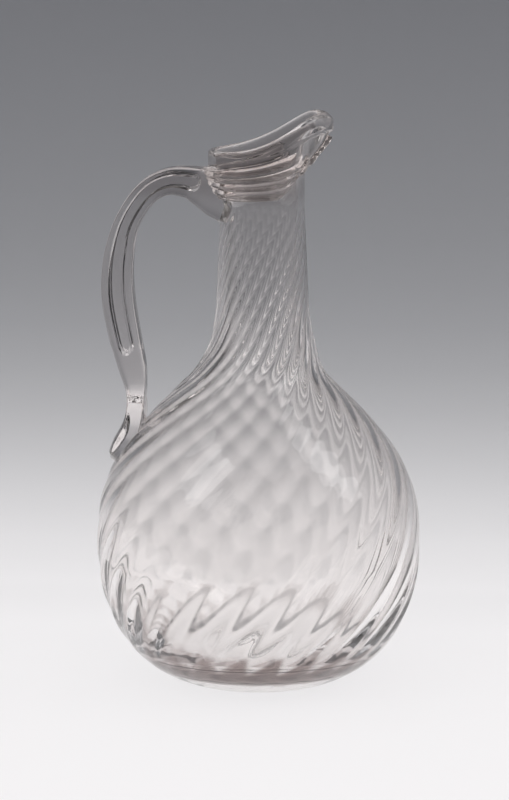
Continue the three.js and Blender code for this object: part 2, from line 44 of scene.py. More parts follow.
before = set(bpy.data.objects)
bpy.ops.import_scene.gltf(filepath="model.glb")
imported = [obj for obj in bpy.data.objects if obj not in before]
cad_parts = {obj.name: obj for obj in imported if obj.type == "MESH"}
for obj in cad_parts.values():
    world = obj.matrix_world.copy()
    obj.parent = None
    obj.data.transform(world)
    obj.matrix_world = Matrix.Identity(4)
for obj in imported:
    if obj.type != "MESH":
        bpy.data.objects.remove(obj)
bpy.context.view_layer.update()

MM = 1000  # millimetres in a metre: the pieces are worked out in millimetres
TINY = 1e-9  # keeps divisions from going by zero
SMALL = 1e-6  # what is larger counts as more than nothing


# Sizes and colours


def srgb(code):
    """The red, green and blue of a hex value, between 0 and 1."""
    return np.array([int(code[i : i + 2], 16) / 255 for i in (1, 3, 5)])


def unbent(parts):
    """The linear values of sRGB parts between 0 and 1."""
    return np.where(parts <= 0.04045, parts / 12.92, ((parts + 0.055) / 1.055) ** 2.4)


def linear(code):
    """An sRGB hex value as linear red, green and blue."""
    return tuple(unbent(srgb(code)).tolist())


def length(name, description, mm):
    return FloatProperty(
        name=name,
        description=description,
        default=mm / MM,
        min=0.0,
        precision=5,
        unit="LENGTH",
        subtype="DISTANCE",
    )


def turn(name, description, degrees):
    return FloatProperty(
        name=name,
        description=description,
        default=math.radians(degrees),
        unit="ROTATION",
        subtype="ANGLE",
    )


def colour(name, description, code):
    return FloatVectorProperty(
        name=name,
        description=description,
        default=linear(code),
        min=0.0,
        max=1.0,
        size=3,
        subtype="COLOR",
    )


class BodySizes(PropertyGroup):
    foot_radius: length("Foot radius", "Outer edge of the flat ring it rests on", 22)
    foot_width: length("Foot width", "Width of the flat ring", 4)
    kick: length("Kick height", "How far the middle of the base is pushed up", 4)
    belly_radius: length("Belly radius", "Widest radius, over the ribs", 66.9)
    belly_height: length("Belly height", "Height of the widest place", 58.5)
    shoulder_radius: length("Shoulder radius", "Where it turns into the neck", 30)
    shoulder_height: length("Shoulder height", "Where it turns into the neck", 126)
    neck_foot_radius: length("Neck foot radius", "Radius at the neck's foot", 18.9)
    neck_foot_height: length("Neck foot height", "Height of the neck's foot", 159)
    neck_radius: length("Neck radius", "Radius at the neck's top", 17.1)
    neck_height: length("Neck height", "Where the mouth starts to open", 197)
    neck_lean: length("Neck lean", "How far the neck stands off the body's axis", 1.7)
    base_wall: length("Base wall", "Thickness of the base", 2.2)
    heel_wall: length("Heel wall", "Thickest place of the ring that has settled in the heel", 6.6)
    body_wall: length("Body wall", "Thickness of the body", 2.3)
    neck_wall: length("Neck wall", "Thickness of the neck", 2.6)


class MouthSizes(PropertyGroup):
    radius: length("Mouth radius", "Outside of the round mouth", 22.2)
    lip: length("Lip height", "Top of the lip above the neck, at the back", 23.5)
    flare: length("Flare height", "Height over which the mouth opens", 17)
    lip_wall: length("Lip wall", "Thickness of the lip", 3)
    spout_wall: length("Spout wall", "Thickness of the lip at the spout's tip", 5.6)
    spout_turn: turn("Spout turn", "How far the spout stands off the handle's line", 7)
    rise: length("Spout rise", "How far the lip rises to the spout", 18.4)
    notch: length("Spout notch", "Depth of the pouring notch at the tip", 4.7)
    reach: length("Spout reach", "How far the tip is drawn out", 4.3)
    bead: length("Spout bead", "How far its gathered edge stands out further", 2.2)


class RibSizes(PropertyGroup):
    count: IntProperty(name="Ribs", description="Ribs round the body", default=24)
    depth: length("Rib depth", "From crest to hollow at the deepest", 1.2)


class TrailSizes(PropertyGroup):
    ledge_below: length("Ledge below lip", "Top of the ledge below the lip", 7)
    ledge_height: length("Ledge height", "Height of the ledge", 3.8)
    ledge_depth: length("Ledge depth", "How far the ledge stands out", 1.8)
    ledge_opening: turn("Ledge opening", "What it leaves free each side", 56)
    threads_height: length("Threads height", "Height of the melted turns", 9.2)
    threads_low: length("Lowest turn", "How far the lowest turn stands out", 1.1)
    threads_high: length("Highest turn", "How far the highest turn stands out", 1.7)
    threads_groove: length("Thread groove", "Depth of the groove between turns", 0.6)
    threads_opening: turn("Threads opening", "What they leave free each side", 41)
    threads_sweep: length("Threads sweep", "How far the lowest turn climbs at its ends", 5)
    seat: length("Seat", "Glass between a trail's edge and the mouth", 0.55)
    strip_width: length("Strip width", "Width of the strip under the spout", 5)
    strip_depth: length("Strip depth", "Thickness of the strip", 2.5)
    strip_below: length("Strip below lip", "Its free end below the lip", 13.3)
    drop_below: length("Drop below lip", "Middle of the drop below the lip", 12.6)
    drop_turn: turn("Drop turn", "How far the drop lies from the spout", 35)
    drop_length: length("Drop length", "Length of the drop", 8)
    drop_width: length("Drop width", "Width of the drop", 4)


class HandleSizes(PropertyGroup):
    reach: length("Reach", "From the neck to the rod's middle at its furthest", 41)
    thickness: length("Rod thickness", "Seen from the side", 11)
    width: length("Rod width", "Across", 11)
    pad_width: length("Pad width", "Across the pressed pad", 24)
    flute: length("Flute depth", "Depth of the hollow down each side", 0.8)
    thumb_length: length("Thumb print length", "Along the pad", 19)
    thumb_width: length("Thumb print width", "Across the pad", 12.5)
    thumb_depth: length("Thumb print depth", "Into the pad", 3.7)


class ScarSizes(PropertyGroup):
    radius: length("Scar radius", "Where the iron held the base", 8)
    thickness: length("Scar thickness", "Glass left on the base", 1.9)


class GlassLook(PropertyGroup):
    blown: colour("Blown glass", "Tint of the vessel", "#FFFDFC")
    trailed: colour("Trailed glass", "Tint of the wound pieces", "#EBDFD9")
    drawn: colour("Drawn glass", "Tint of the handle", "#F2EEED")
    ior: FloatProperty(name="Refraction", description="Index of soda glass", default=1.51)


class StageLook(PropertyGroup):
    front: length("Paper in front", "How far it reaches towards the camera", 220)
    wall: length("Paper behind", "How far behind the carafe the paper stands upright", 400)
    bend: length("Paper bend", "Radius of its bend", 250)
    top: length("Paper height", "Height of its top edge", 450)
    width: length("Paper width", "From side to side", 1600)
    lamps: FloatProperty(
        name="Light of the lamps",
        description="What both soft boxes add to the light on the paper",
        default=0.1,
    )


# The blown form, in millimetres

# Rows of points along each stretch of the outside, under the base and over the lip
OUTSIDE_ROWS = {"lower": 52, "upper": 42, "root": 26, "neck": 24, "flare": 72, "upright": 12}
KICK_ROWS = 36
FOOT_ROWS = 3
LIP_ROWS = 14
INNER_SPACING = 1.4
SEGMENTS = 432
CURVE_POINTS = 400
# How far the outside runs straight on from each of its stations, as a share of the stretch there
FOOT_PULL = 0.39
BELLY_PULLS = (0.26, 0.4)
SHOULDER_PULLS = (0.58, 0.24)
NECK_FOOT_PULL = 0.42
FLARE_PULLS = (0.3, 0.5)
SHOULDER_SLOPE = 1.06  # how far it runs inwards for each millimetre up
LEAN_BELOW_NECK_FOOT = 16  # where the neck has all its lean
# Where the mouth starts to be drawn out and where it is drawn in full, below the lip
DRAWN_BELOW_LIP = (15, 4.2)
GATHERED = (-1, 0.5)  # where its edge is gathered, from where it is drawn in full
LIP_TURN = (0.2, 0.8)  # share of the way over the lip from the outside to the inside
# Where the heavy ring of the heel starts, peaks and ends, as shares of the belly's height
HEEL = (0.13, 0.2, 0.92)
# How far the ribs lean, as millimetres round for each millimetre along the outside, by height
RIB_LEAN = ((0, 40, 85, 115, 139, 187, 201, 220), (0.68, 0.7, 0.86, 0.72, 0.44, 0.6, 0.5, 0))
# Share of the ribs' full depth, by height
RIB_FADE = (
    (0, 3, 12, 22, 34, 48, 62, 95, 115, 130, 145, 160, 175, 190, 201),
    (0, 0.07, 0.15, 0.5, 1, 0.87, 0.55, 0.37, 0.42, 0.62, 0.66, 0.48, 0.3, 0.15, 0),
)
# Round crests between wide hollows: how much each wave adds, and what they come to at crest and hollow
RIB_SHAPE = (1, 0.1, 0.03)
RIB_CREST = sum(RIB_SHAPE)
RIB_HOLLOW = sum(share * (-1) ** (k + 1) for k, share in enumerate(RIB_SHAPE))
# The ribs are shallower at the back of the belly: by how much, between which heights they change, the
# angle round the body of the middle of that side, and where it starts and is full, as cosines from there
CALM_SHARE = 0.5
CALM_START = (30, 45)
CALM_END = (72, 102)
CALM_SIDE = math.radians(120)
CALM_TURN = (0.3, 0.8)
# Painted shade in the heel's ring, with some tint of its thick glass; it is darker in front, towards the
# camera.
# The heights between which it sets in, its upper edge, how far the ribs move that edge and how soft it is,
# and its share in front and at the back
SHADED_HEEL_START = (6, 10)
SHADED_HEEL_TOP = 18.5
SHADED_HEEL_SCALLOP = 7
SHADED_HEEL_SOFT = 1.5
SHADED_HEEL_FRONT = 1
SHADED_HEEL_BACK = 0.2
# The mouth's share of that tint, as the tint of its thick glass, and the height above the neck at which it
# has it
HEAVY_MOUTH = 0.3
HEAVY_MOUTH_RISE = 8
# How closely the rise and the reach of the spout keep to its side of the mouth, and the notch to its tip
SPOUT_RISE_POWER = 2.4
SPOUT_REACH_POWER = 5
NOTCH_WIDTH = math.radians(22)


def smooth(value, low, high):
    """Rises softly from 0 at the low value to 1 at the high one."""
    share = np.clip((value - low) / (high - low), 0, 1)
    return share * share * (3 - 2 * share)


def rounded(share):
    """Rises from 0 to 1 as a quarter circle does."""
    return np.sqrt(1 - (1 - np.clip(share, 0, 1)) ** 2)


def bezier(a, b, c, d, rows):
    """Points spaced evenly along a cubic Bezier curve, without its first one."""
    t = np.linspace(0, 1, CURVE_POINTS)[:, None]
    a, b, c, d = (np.array(p, float) for p in (a, b, c, d))
    curve = a * (1 - t) ** 3 + 3 * b * t * (1 - t) ** 2 + 3 * c * t * t * (1 - t) + d * t**3
    run = np.concatenate(([0], np.cumsum(np.hypot(*np.diff(curve, axis=0).T))))
    at = np.linspace(0, run[-1], rows + 1)[1:]
    return np.stack([np.interp(at, run, curve[:, i]) for i in (0, 1)], axis=1)


class BlownForm:
    """The turned outline and the way it is worked: ribs, lean and drawn mouth."""

    def __init__(self, body, mouth, ribs):
        self.body, self.mouth, self.ribs = body, mouth, ribs
        self.lip_height = body.neck_height + mouth.lip
        self.mouth_height = body.neck_height + mouth.flare
        self.throat, self.full = (self.lip_height - below for below in DRAWN_BELOW_LIP)
        self.outside = self.outside_outline()
        runs = np.hypot(*np.diff(self.outside, axis=0).T)
        radius, height = (self.outside[1:] + self.outside[:-1]).T / 2
        lean = np.interp(height, *RIB_LEAN)
        self.wound = np.concatenate(([0], np.cumsum(lean * runs / radius)))

    def outside_outline(self):
        """Radius and height of points from the foot's edge up to the lip, through smooth curves."""
        b, m, rows = self.body, self.mouth, OUTSIDE_ROWS
        foot, belly = (b.foot_radius, 0), (b.belly_radius, b.belly_height)
        shoulder = np.array((b.shoulder_radius, b.shoulder_height))
        neck_foot = np.array((b.neck_foot_radius, b.neck_foot_height))
        neck_top = np.array((b.neck_radius, b.neck_height))
        mouth = np.array((m.radius, self.mouth_height))
        lip_foot = np.array((m.radius, self.lip_height - m.lip_wall))
        slope = np.array((-SHOULDER_SLOPE, 1)) / math.hypot(SHOULDER_SLOPE, 1)
        taper = neck_top - neck_foot
        rise = b.shoulder_height - b.belly_height
        out = b.foot_radius + FOOT_PULL * (b.belly_radius - b.foot_radius)
        below = BELLY_PULLS[0] * b.belly_height
        above = b.belly_height + BELLY_PULLS[1] * rise
        into = shoulder - SHOULDER_PULLS[0] * rise * slope
        onward = shoulder + SHOULDER_PULLS[1] * (b.neck_foot_height - b.shoulder_height) * slope
        opening, opened = ((0, pull * m.flare) for pull in FLARE_PULLS)
        return np.concatenate(
            [
                np.array([foot], float),
                bezier(foot, (out, 0), (b.belly_radius, below), belly, rows["lower"]),
                bezier(belly, (b.belly_radius, above), into, shoulder, rows["upper"]),
                bezier(shoulder, onward, neck_foot - NECK_FOOT_PULL * taper, neck_foot, rows["root"]),
                bezier(neck_foot, neck_foot + taper / 3, neck_top - taper / 3, neck_top, rows["neck"]),
                bezier(neck_top, neck_top + opening, np.subtract(mouth, opened), mouth, rows["flare"]),
                bezier(mouth, mouth, lip_foot, lip_foot, rows["upright"]),
            ]
        )

    def kick_height(self, radius):
        """Height of the base's underside, pushed up in the middle."""
        b = self.body
        return b.kick * (1 + np.cos(np.pi * radius / (b.foot_radius - b.foot_width))) / 2

    def outside_radius(self, height):
        return np.interp(height, self.outside[:, 1], self.outside[:, 0])

    def winding(self, height):
        """Angle by which the ribs have turned at a height."""
        return np.interp(height, self.outside[:, 1], self.wound)

    def lean(self, height):
        """How far the axis has moved aside at a height."""
        b = self.body
        return b.neck_lean * smooth(height, b.shoulder_height, b.neck_foot_height - LEAN_BELOW_NECK_FOOT)

    def wall(self, height):
        """Thickness of the glass at a height."""
        b = self.body
        heel, peak, end = (share * b.belly_height for share in HEEL)
        stops = (0, heel, peak, end, b.shoulder_height, b.neck_foot_height, self.mouth_height)
        walls = (b.base_wall, b.base_wall, b.heel_wall, b.body_wall, b.body_wall, b.neck_wall)
        return np.interp(height, stops, (*walls, self.mouth.lip_wall))

    def from_spout(self, angle):
        """Angle from the spout, between minus and plus half a turn."""
        return (angle - self.mouth.spout_turn + np.pi) % (2 * np.pi) - np.pi

    def worked(self, radius, height, angle, across=0.0):
        """Where a point of the turned form lies once the ribs are pressed in and the mouth is drawn."""
        b, m = self.body, self.mouth
        away = self.from_spout(angle)
        side = (1 + np.cos(away)) / 2
        opened = np.clip((height - b.neck_height) / m.lip, 0, 1)
        notch = m.notch * np.exp(-((away / NOTCH_WIDTH) ** 2))
        rise = opened * (m.rise * side**SPOUT_RISE_POWER - notch)
        drawn = smooth(height, self.throat, self.full)
        gathered = smooth(height - self.full, *GATHERED)
        thickening = across * (m.spout_wall - m.lip_wall)
        throat = self.outside_radius(np.maximum(height, b.neck_height)) - b.neck_radius
        reach = drawn * (m.reach - thickening) + gathered * m.bead - (1 - drawn) * throat
        r = radius + reach * side**SPOUT_REACH_POWER - self.groove(height, angle) * (1 - across)
        x = self.lean(height) * np.ones_like(r) + r * np.cos(angle)
        return np.stack([x, r * np.sin(angle), height + rise + 0 * r], axis=-1)

    def calm(self, height, angle):
        """Share by which the ribs are shallower at the back of the belly."""
        belly = smooth(height, *CALM_START) * (1 - smooth(height, *CALM_END))
        return CALM_SHARE * belly * smooth(np.cos(angle - CALM_SIDE), *CALM_TURN)

    def groove(self, height, angle):
        """Depth of the hollows between the ribs, which die out in the base and under the wound glass."""
        fade = np.interp(height, *RIB_FADE) * (1 - self.calm(height, angle))
        turned = self.ribs.count * (angle - self.winding(height))
        crest = sum(share * np.cos((k + 1) * turned) for k, share in enumerate(RIB_SHAPE))
        return self.ribs.depth * fade * (RIB_CREST - crest) / (RIB_CREST - RIB_HOLLOW)

    def heavy(self, places):
        """Share of painted shade in the heel's ring, mostly in front, with some tint of its thick glass,
        and of the thick mouth's tint.
        """
        height, angle = places[:, 2], np.arctan2(places[:, 1], places[:, 0])
        full = self.ribs.depth * np.interp(height, *RIB_FADE) + TINY
        # Painted shade: its upper edge follows the ribs, and it is strongest in front, towards the camera,
        # and weaker at the back
        top = SHADED_HEEL_TOP + SHADED_HEEL_SCALLOP * (0.5 - self.groove(height, angle) / full)
        ring = smooth(height, *SHADED_HEEL_START) * (1 - smooth(height - top, -SHADED_HEEL_SOFT, SHADED_HEEL_SOFT))
        share = (SHADED_HEEL_FRONT + SHADED_HEEL_BACK - (SHADED_HEEL_FRONT - SHADED_HEEL_BACK) * np.sin(angle)) / 2
        mouth = smooth(height - self.body.neck_height, 0, HEAVY_MOUTH_RISE)
        return ring * share + HEAVY_MOUTH * mouth

    def outer_rows(self):
        """Radius and height of each row from the axis under the base, out and up to the lip."""
        b = self.body
        reach = b.foot_radius - b.foot_width
        kick = np.linspace(0, reach, KICK_ROWS + 1)
        foot = np.linspace(reach, b.foot_radius, FOOT_ROWS + 1)[1:-1]
        under = np.stack([np.append(kick, foot), np.append(self.kick_height(kick), 0 * foot)], axis=1)
        return np.concatenate([under, self.outside])

    def lip_rows(self):
        """The rows over the round lip, and how far each has gone from the outside to the inside."""
        radius = self.mouth.lip_wall / 2
        middle = (self.mouth.radius - radius, self.lip_height - radius)
        share = np.linspace(0, 1, LIP_ROWS + 1)
        way = np.stack([np.cos(np.pi * share), np.sin(np.pi * share)], axis=1)
        return middle + radius * way, smooth(share, *LIP_TURN)

    def inner_rows(self):
        """The outside moved in by the wall, from the lip down to the axis, with fewer rows."""
        outer = self.outer_rows()
        run = np.gradient(outer, axis=0)
        run /= np.hypot(*run.T)[:, None]
        inward = np.stack([-run[:, 1], run[:, 0]], axis=1)
        inward[0] = (0, 1)
        rows = outer + inward * self.wall(outer[:, 1])[:, None]
        rows[0, 0] = 0
        spacing = np.hypot(*np.diff(rows, axis=0).T)
        keep, since = [0], 0.0
        for i in range(1, len(rows) - 1):
            since += spacing[i - 1]
            if since > INNER_SPACING:
                keep.append(i)
                since = 0.0
        return rows[keep + [len(rows) - 1]][::-1]


# Threads, strip, drop and scar, as glass laid on the vessel

PIECES = ("vessel", "lip_ledge", "neck_threads", "spout_strip", "thread_drop", "pontil_scar", "handle")
OWNER = {name: i for i, name in enumerate(PIECES)}
LEAST_DEPTH = 0.012
# A trail thins out to this share of its depth, over this angle before its end, which is round
TRAIL_END = 0.35
TRAIL_TAPER = math.radians(9)
TRAIL_ROUND = math.radians(3)
# How flat the ledge's face is, how often the thread goes round, and the angle over which it climbs
LEDGE_FLATNESS = 3
THREAD_TURNS = 3
SWEEP_TURN = math.radians(33)
# Share of a piece's height over which its edge is rounded
LEDGE_EDGE = 0.1
THREADS_EDGE = 0.12
STRIP_EDGE = 0.16
# The strip thins by a share near its top, and its free end keeps a share of its width
STRIP_THINS = 0.6
STRIP_TOP = (0.93, 1)
STRIP_LEAST = 0.05
# How much more than half its width the drop stands out, and the angle to each side beyond which none is
DROP_EXTRA = 0.5
DROP_SIDE = 1
# The scar's ragged rim and its broken face: share or depth, size and seed of each unevenness
SCAR_RIM = (0.07, 7, 3)
SCAR_FACE = ((0.16, 2.6, 5), (0.1, 1.1, 6))
SCAR_LEVEL = 0.82
SCAR_ROUND = 0.9
# Waves that make up the noise, how far their lengths spread, and what brings their sum to about 1
NOISE_WAVES = 14
NOISE_SPREAD = (0.6, 1.7)
NOISE_SUM = 5


def noise(points, size, seed):
    """Smooth seeded noise between -1 and 1 at points given in millimetres."""
    rng = np.random.default_rng(seed)
    total = np.zeros(points.shape[:-1])
    for _ in range(NOISE_WAVES):
        way = rng.normal(size=3)
        way /= np.linalg.norm(way)
        pitch = size * rng.uniform(*NOISE_SPREAD)
        total += np.sin(points @ way * (2 * np.pi / pitch) + rng.uniform(0, 2 * np.pi))
    return total / NOISE_SUM


def trail(depth, share, edge, from_end, seat):
    """Depth of a wound trail, tapered towards its ends and rounded at its edge and ends."""
    taper = TRAIL_END + (1 - TRAIL_END) * smooth(from_end, 0, TRAIL_TAPER)
    full = (seat + taper * depth) * rounded(edge) * rounded(from_end / TRAIL_ROUND)
    return np.where((share > 0) & (share <= 1) & (from_end > 0), full, 0)


def ledge_depth(form, trails, height, away):
    top = form.lip_height - trails.ledge_below
    share = (height - top) / trails.ledge_height + 1
    crown = np.sqrt(np.clip(1 - np.abs(2 * share - 1) ** LEDGE_FLATNESS, 0, 1))
    edge = np.minimum(share, 1 - share) / LEDGE_EDGE
    from_end = np.abs(away) - trails.ledge_opening
    return trail(trails.ledge_depth * crown, share, edge, from_end, trails.seat)


def threads_depth(form, trails, height, away):
    top = form.lip_height - trails.ledge_below - trails.ledge_height
    from_end = np.abs(away) - trails.threads_opening
    climb = trails.threads_sweep * (1 - smooth(from_end, 0, SWEEP_TURN))
    bottom = top - trails.threads_height + climb
    share = (height - bottom) / (top - bottom)
    wound = np.abs(np.sin(np.pi * (THREAD_TURNS * share + (away % (2 * np.pi)) / (2 * np.pi))))
    swell = trails.threads_low + (trails.threads_high - trails.threads_low) * share
    swell = swell - trails.threads_groove * (1 - wound)
    return trail(swell, share, share / THREADS_EDGE, from_end, trails.seat)


def strip_depth(form, trails, height, away, radius):
    bottom, top = form.lip_height - trails.strip_below, form.full + GATHERED[0]
    share = (height - bottom) / (top - bottom)
    full = rounded(share / STRIP_EDGE)
    aside = np.abs(away) * radius / (trails.strip_width / 2 * np.maximum(full, STRIP_LEAST))
    depth = trails.strip_depth * full * np.sqrt(np.clip(1 - aside**2, 0, 1))
    depth = depth * (1 - STRIP_THINS * smooth(share, *STRIP_TOP))
    return np.where((share > 0) & (share < 1), depth, 0)


def drop_depth(form, trails, places, away):
    turned = form.mouth.spout_turn - trails.drop_turn
    height = form.lip_height - trails.drop_below
    centre = form.worked(form.outside_radius(height), np.array(height), np.array(turned))
    off = places - centre
    aside = (off[..., 1] * math.cos(turned) - off[..., 0] * math.sin(turned)) / (trails.drop_width / 2)
    along = off[..., 2] / (trails.drop_length / 2)
    bump = np.sqrt(np.clip(1 - aside**2 - along**2, 0, 1))
    depth = (trails.drop_width / 2 + DROP_EXTRA) * bump
    return np.where(np.abs(away + trails.drop_turn) < DROP_SIDE, depth, 0)


def scar_depth(scar, places, radius):
    share, size, seed = SCAR_RIM
    ragged = scar.radius * (1 - share + share * noise(places, size, seed))
    edge = rounded((ragged - radius) / SCAR_ROUND)
    rough = sum(depth * noise(places, size, seed) for depth, size, seed in SCAR_FACE)
    return np.clip(edge * (scar.thickness * SCAR_LEVEL + rough), 0, None)


# Handle

# Stations of the rod and the pad: share of the height from the pad's tip to the root, then share of the
# reach, of the rod's thickness and of its width or the pad's
ROD = (
    (1, -0.11, 1.955, 1.545),
    (1.018, 0.002, 1.764, 1.5),
    (1.035, 0.102, 1.455, 1.364),
    (1.051, 0.22, 1.164, 1.182),
    (1.054, 0.42, 0.991, 1.091),
    (1.018, 0.663, 0.918, 1.036),
    (0.902, 0.924, 0.918, 1),
    (0.764, 1, 1.091, 1),
    (0.623, 0.99, 1.191, 1),
    (0.484, 0.885, 1.155, 1),
    (0.354, 0.634, 1, 1),
    (0.271, 0.385, 0.745, 1.036),
)
PAD = (
    (0.236, 0.288, 0.655, 0.542),
    (0.207, 0.21, 0.655, 0.75),
    (0.144, 0.078, 0.709, 1),
    (0.073, 0.01, 0.782, 1),
    (0.018, 0.007, 0.582, 0.667),
    (0, 0.017, 0.2, 0.25),
)
ROOT_ABOVE_NECK = 4.2
TIP_BELOW_SHOULDER = 34.2
# Sections along the rod and points round each, and the share of its line over which its run is taken
ROD_SECTIONS = 260
ROD_POINTS = 128
ROD_STEP = 1e-4
ROD_SQUARENESS = 8
SECTION_POINTS = 4000
# The hollow down each side, as shares of half the rod's thickness, from its outer to its inner side
FLUTE_MIDDLE = -0.06
FLUTE_HALF = 0.45
FLUTE_EDGE = 0.09
FLUTE_SQUARENESS = 4
# The stations where the hollow begins and ends, and the share of the rod's thickness over which it dies out
FLUTE_STATIONS = (2.2, 9.6)
FLUTE_END = 0.3
# The thumb's print: the stations it lies between, its place as a share of the handle's height, how
# steeply its hollow starts, and its rim's height in mm, and place and width as shares of the print
THUMB_STATIONS = (len(ROD) + 2, len(ROD) + 4)
THUMB_HEIGHT = 0.085
THUMB_STEEPNESS = 0.8
THUMB_RIM = (0.35, 1.12, 0.16)
# Where a point counts as on the pad's outer face: by its turn round the section, and by its depth in mm
OUTER_TURN = (-0.2, 0.35)
OUTER_DEPTH = (-6.5, -3.5)
# The space inside the vessel that the root and the pad stay out of
CORE_FOOT = 60
CORE_BELOW_LIP = 3
CORE_ROWS = 120


def through(points, at):
    """A centripetal Catmull-Rom curve through points, at values from 0 to 1."""
    points = np.asarray(points, float)
    before = 2 * points[0] - points[1]
    after = 2 * points[-1] - points[-2]
    all_points = np.concatenate([[before], points, [after]])
    place = np.clip(at * (len(points) - 1), 0, len(points) - 1 - TINY)
    first = place.astype(int)
    t = (place - first)[:, None]
    p0, p1, p2, p3 = (all_points[first + i] for i in range(4))
    d0, d1, d2 = (
        np.maximum(np.linalg.norm(b - a, axis=1), TINY)[:, None] ** 0.5
        for a, b in ((p0, p1), (p1, p2), (p2, p3))
    )
    t1 = ((p1 - p0) / d0 - (p2 - p0) / (d0 + d1) + (p2 - p1) / d1) * d1
    t2 = ((p2 - p1) / d1 - (p3 - p1) / (d1 + d2) + (p3 - p2) / d2) * d1
    return p1 + t1 * t + (3 * (p2 - p1) - 2 * t1 - t2) * t**2 + (2 * (p1 - p2) + t1 + t2) * t**3


def flat_sided(count):
    """Evenly spaced points of a rounded square of half width 1, which is the rod's section."""
    t = np.linspace(0, 2 * np.pi, SECTION_POINTS)
    x, y = (np.sign(v) * np.abs(v) ** (2 / ROD_SQUARENESS) for v in (np.cos(t), np.sin(t)))
    run = np.cumsum(np.append(0, np.hypot(np.diff(x), np.diff(y))))
    at = np.arange(count) * run[-1] / count
    return np.interp(at, run, x), np.interp(at, run, y)


def handle_surface(form, sizes):
    """Points of the rod and pad, section by section, from the root to the tip."""
    stations = np.array(ROD + PAD)
    root = form.body.neck_height + ROOT_ABOVE_NECK
    tip = form.body.shoulder_height - TIP_BELOW_SHOULDER
    height = tip + stations[:, 0] * (root - tip)
    x = form.lean(height) - form.outside_radius(height) - stations[:, 1] * sizes.reach
    line = np.stack([x, 0 * x, height], axis=1)
    widths = np.where(np.arange(len(stations)) < len(ROD), sizes.width, sizes.pad_width)
    thickness, number = stations[:, 2] * sizes.thickness, np.arange(len(stations))
    spans = np.stack([thickness, stations[:, 3] * widths, number], axis=1)
    at = np.linspace(0, 1, ROD_SECTIONS + 1)
    middle = through(line, at)
    run = through(line, np.minimum(at + ROD_STEP, 1)) - through(line, np.maximum(at - ROD_STEP, 0))
    run /= np.linalg.norm(run, axis=1)[:, None]
    inward = np.stack([-run[:, 2], 0 * at, run[:, 0]], axis=1)
    thick, wide, station = through(spans, at).T
    inner, side = flat_sided(ROD_POINTS)
    run_on = np.cumsum(np.append(0, np.linalg.norm(np.diff(middle, axis=0), axis=1)))
    begin, end = (np.interp(s, station, run_on) for s in FLUTE_STATIONS)
    reach = np.minimum(run_on - begin, end - run_on) / (FLUTE_END * sizes.thickness)
    half = FLUTE_HALF * rounded(reach)[:, None]
    inside = half - np.abs(inner[None] - FLUTE_MIDDLE)
    flute = sizes.flute * smooth(inside, 0, FLUTE_EDGE) * np.abs(side) ** FLUTE_SQUARENESS
    points = middle[:, None] + inward[:, None] * (thick[:, None] / 2 * inner)[..., None]
    points[..., 1] = (wide[:, None] / 2 - flute) * side
    turned = np.arctan2(side, inner)
    return thumb_pressed(points, line, stations, sizes, turned)


def thumb_pressed(points, line, stations, sizes, turned):
    """The thumb's print, pressed into the outer face of the pad with a soft rim round it."""
    first, last = THUMB_STATIONS
    share = (stations[first, 0] - THUMB_HEIGHT) / (stations[first, 0] - stations[last, 0])
    step = line[last] - line[first]
    run = step / np.linalg.norm(step)
    out = np.array((run[2], 0, -run[0]))
    thick = stations[first, 2] + share * (stations[last, 2] - stations[first, 2])
    off = points - (line[first] + share * step + out * thick * sizes.thickness / 2)
    along = (off @ run) / (sizes.thumb_length / 2)
    aside = off[..., 1] / (sizes.thumb_width / 2)
    near = along**2 + aside**2
    outer = smooth(-np.cos(turned), *OUTER_TURN) * smooth(off @ out, *OUTER_DEPTH)
    print_depth = sizes.thumb_depth * np.clip(1 - near, 0, 1) ** THUMB_STEEPNESS
    rim_height, rim_place, rim_width = THUMB_RIM
    rim = rim_height * np.exp(-(((np.sqrt(near) - rim_place) / rim_width) ** 2))
    return points + out * ((rim - print_depth) * outer)[..., None]


# Meshes

SHARP_FROM = math.radians(38)
MERGED_PER_MM = 1e4  # corners that round to the same of these steps are one


def grid_faces(rows, segments):
    """Faces of a closed form whose first and last row are single points on the axis."""
    first = 1 + np.arange(rows - 3)[:, None] * segments
    here = first + np.arange(segments)
    there = first + (np.arange(segments) + 1) % segments
    quads = np.stack([here, there, there + segments, here + segments], axis=-1).reshape(-1, 4)
    ring = np.arange(segments)
    start = np.stack([0 * ring, 1 + (ring + 1) % segments, 1 + ring], axis=-1)
    last = 1 + (rows - 3) * segments
    top = last + segments
    end = np.stack([0 * ring + top, last + ring, last + (ring + 1) % segments], axis=-1)
    return quads, start, end


def face_lists(groups):
    return [face for group in groups for face in group.tolist()]


def closed_form(form, rows, across):
    """Points of a turned and worked form, whose rows wind along the ribs, and what they come from."""
    turned = np.arange(SEGMENTS) * 2 * np.pi / SEGMENTS
    angle = turned[None] + form.winding(rows[1:-1, 1])[:, None]
    radius, height = (np.repeat(rows[1:-1, i, None], SEGMENTS, axis=1) for i in (0, 1))
    grid = form.worked(radius, height, angle, np.asarray(across)[1:-1, None])
    return grid, radius, height, angle


def new_object(name, data):
    """An object for a mesh, camera or lamp, put in the scene."""
    obj = bpy.data.objects.new(name, data)
    bpy.context.scene.collection.objects.link(obj)
    return obj


def mesh_of(name, vertices, faces, owners):
    """A mesh object whose faces say which piece they belong to."""
    mesh = bpy.data.meshes.new(name)
    mesh.from_pydata((vertices / MM).tolist(), [], faces)
    mesh.update()
    tag = mesh.attributes.new("owner", "INT", "FACE")
    tag.data.foreach_set("value", np.asarray(owners, dtype=np.int32))
    return new_object(name, mesh)


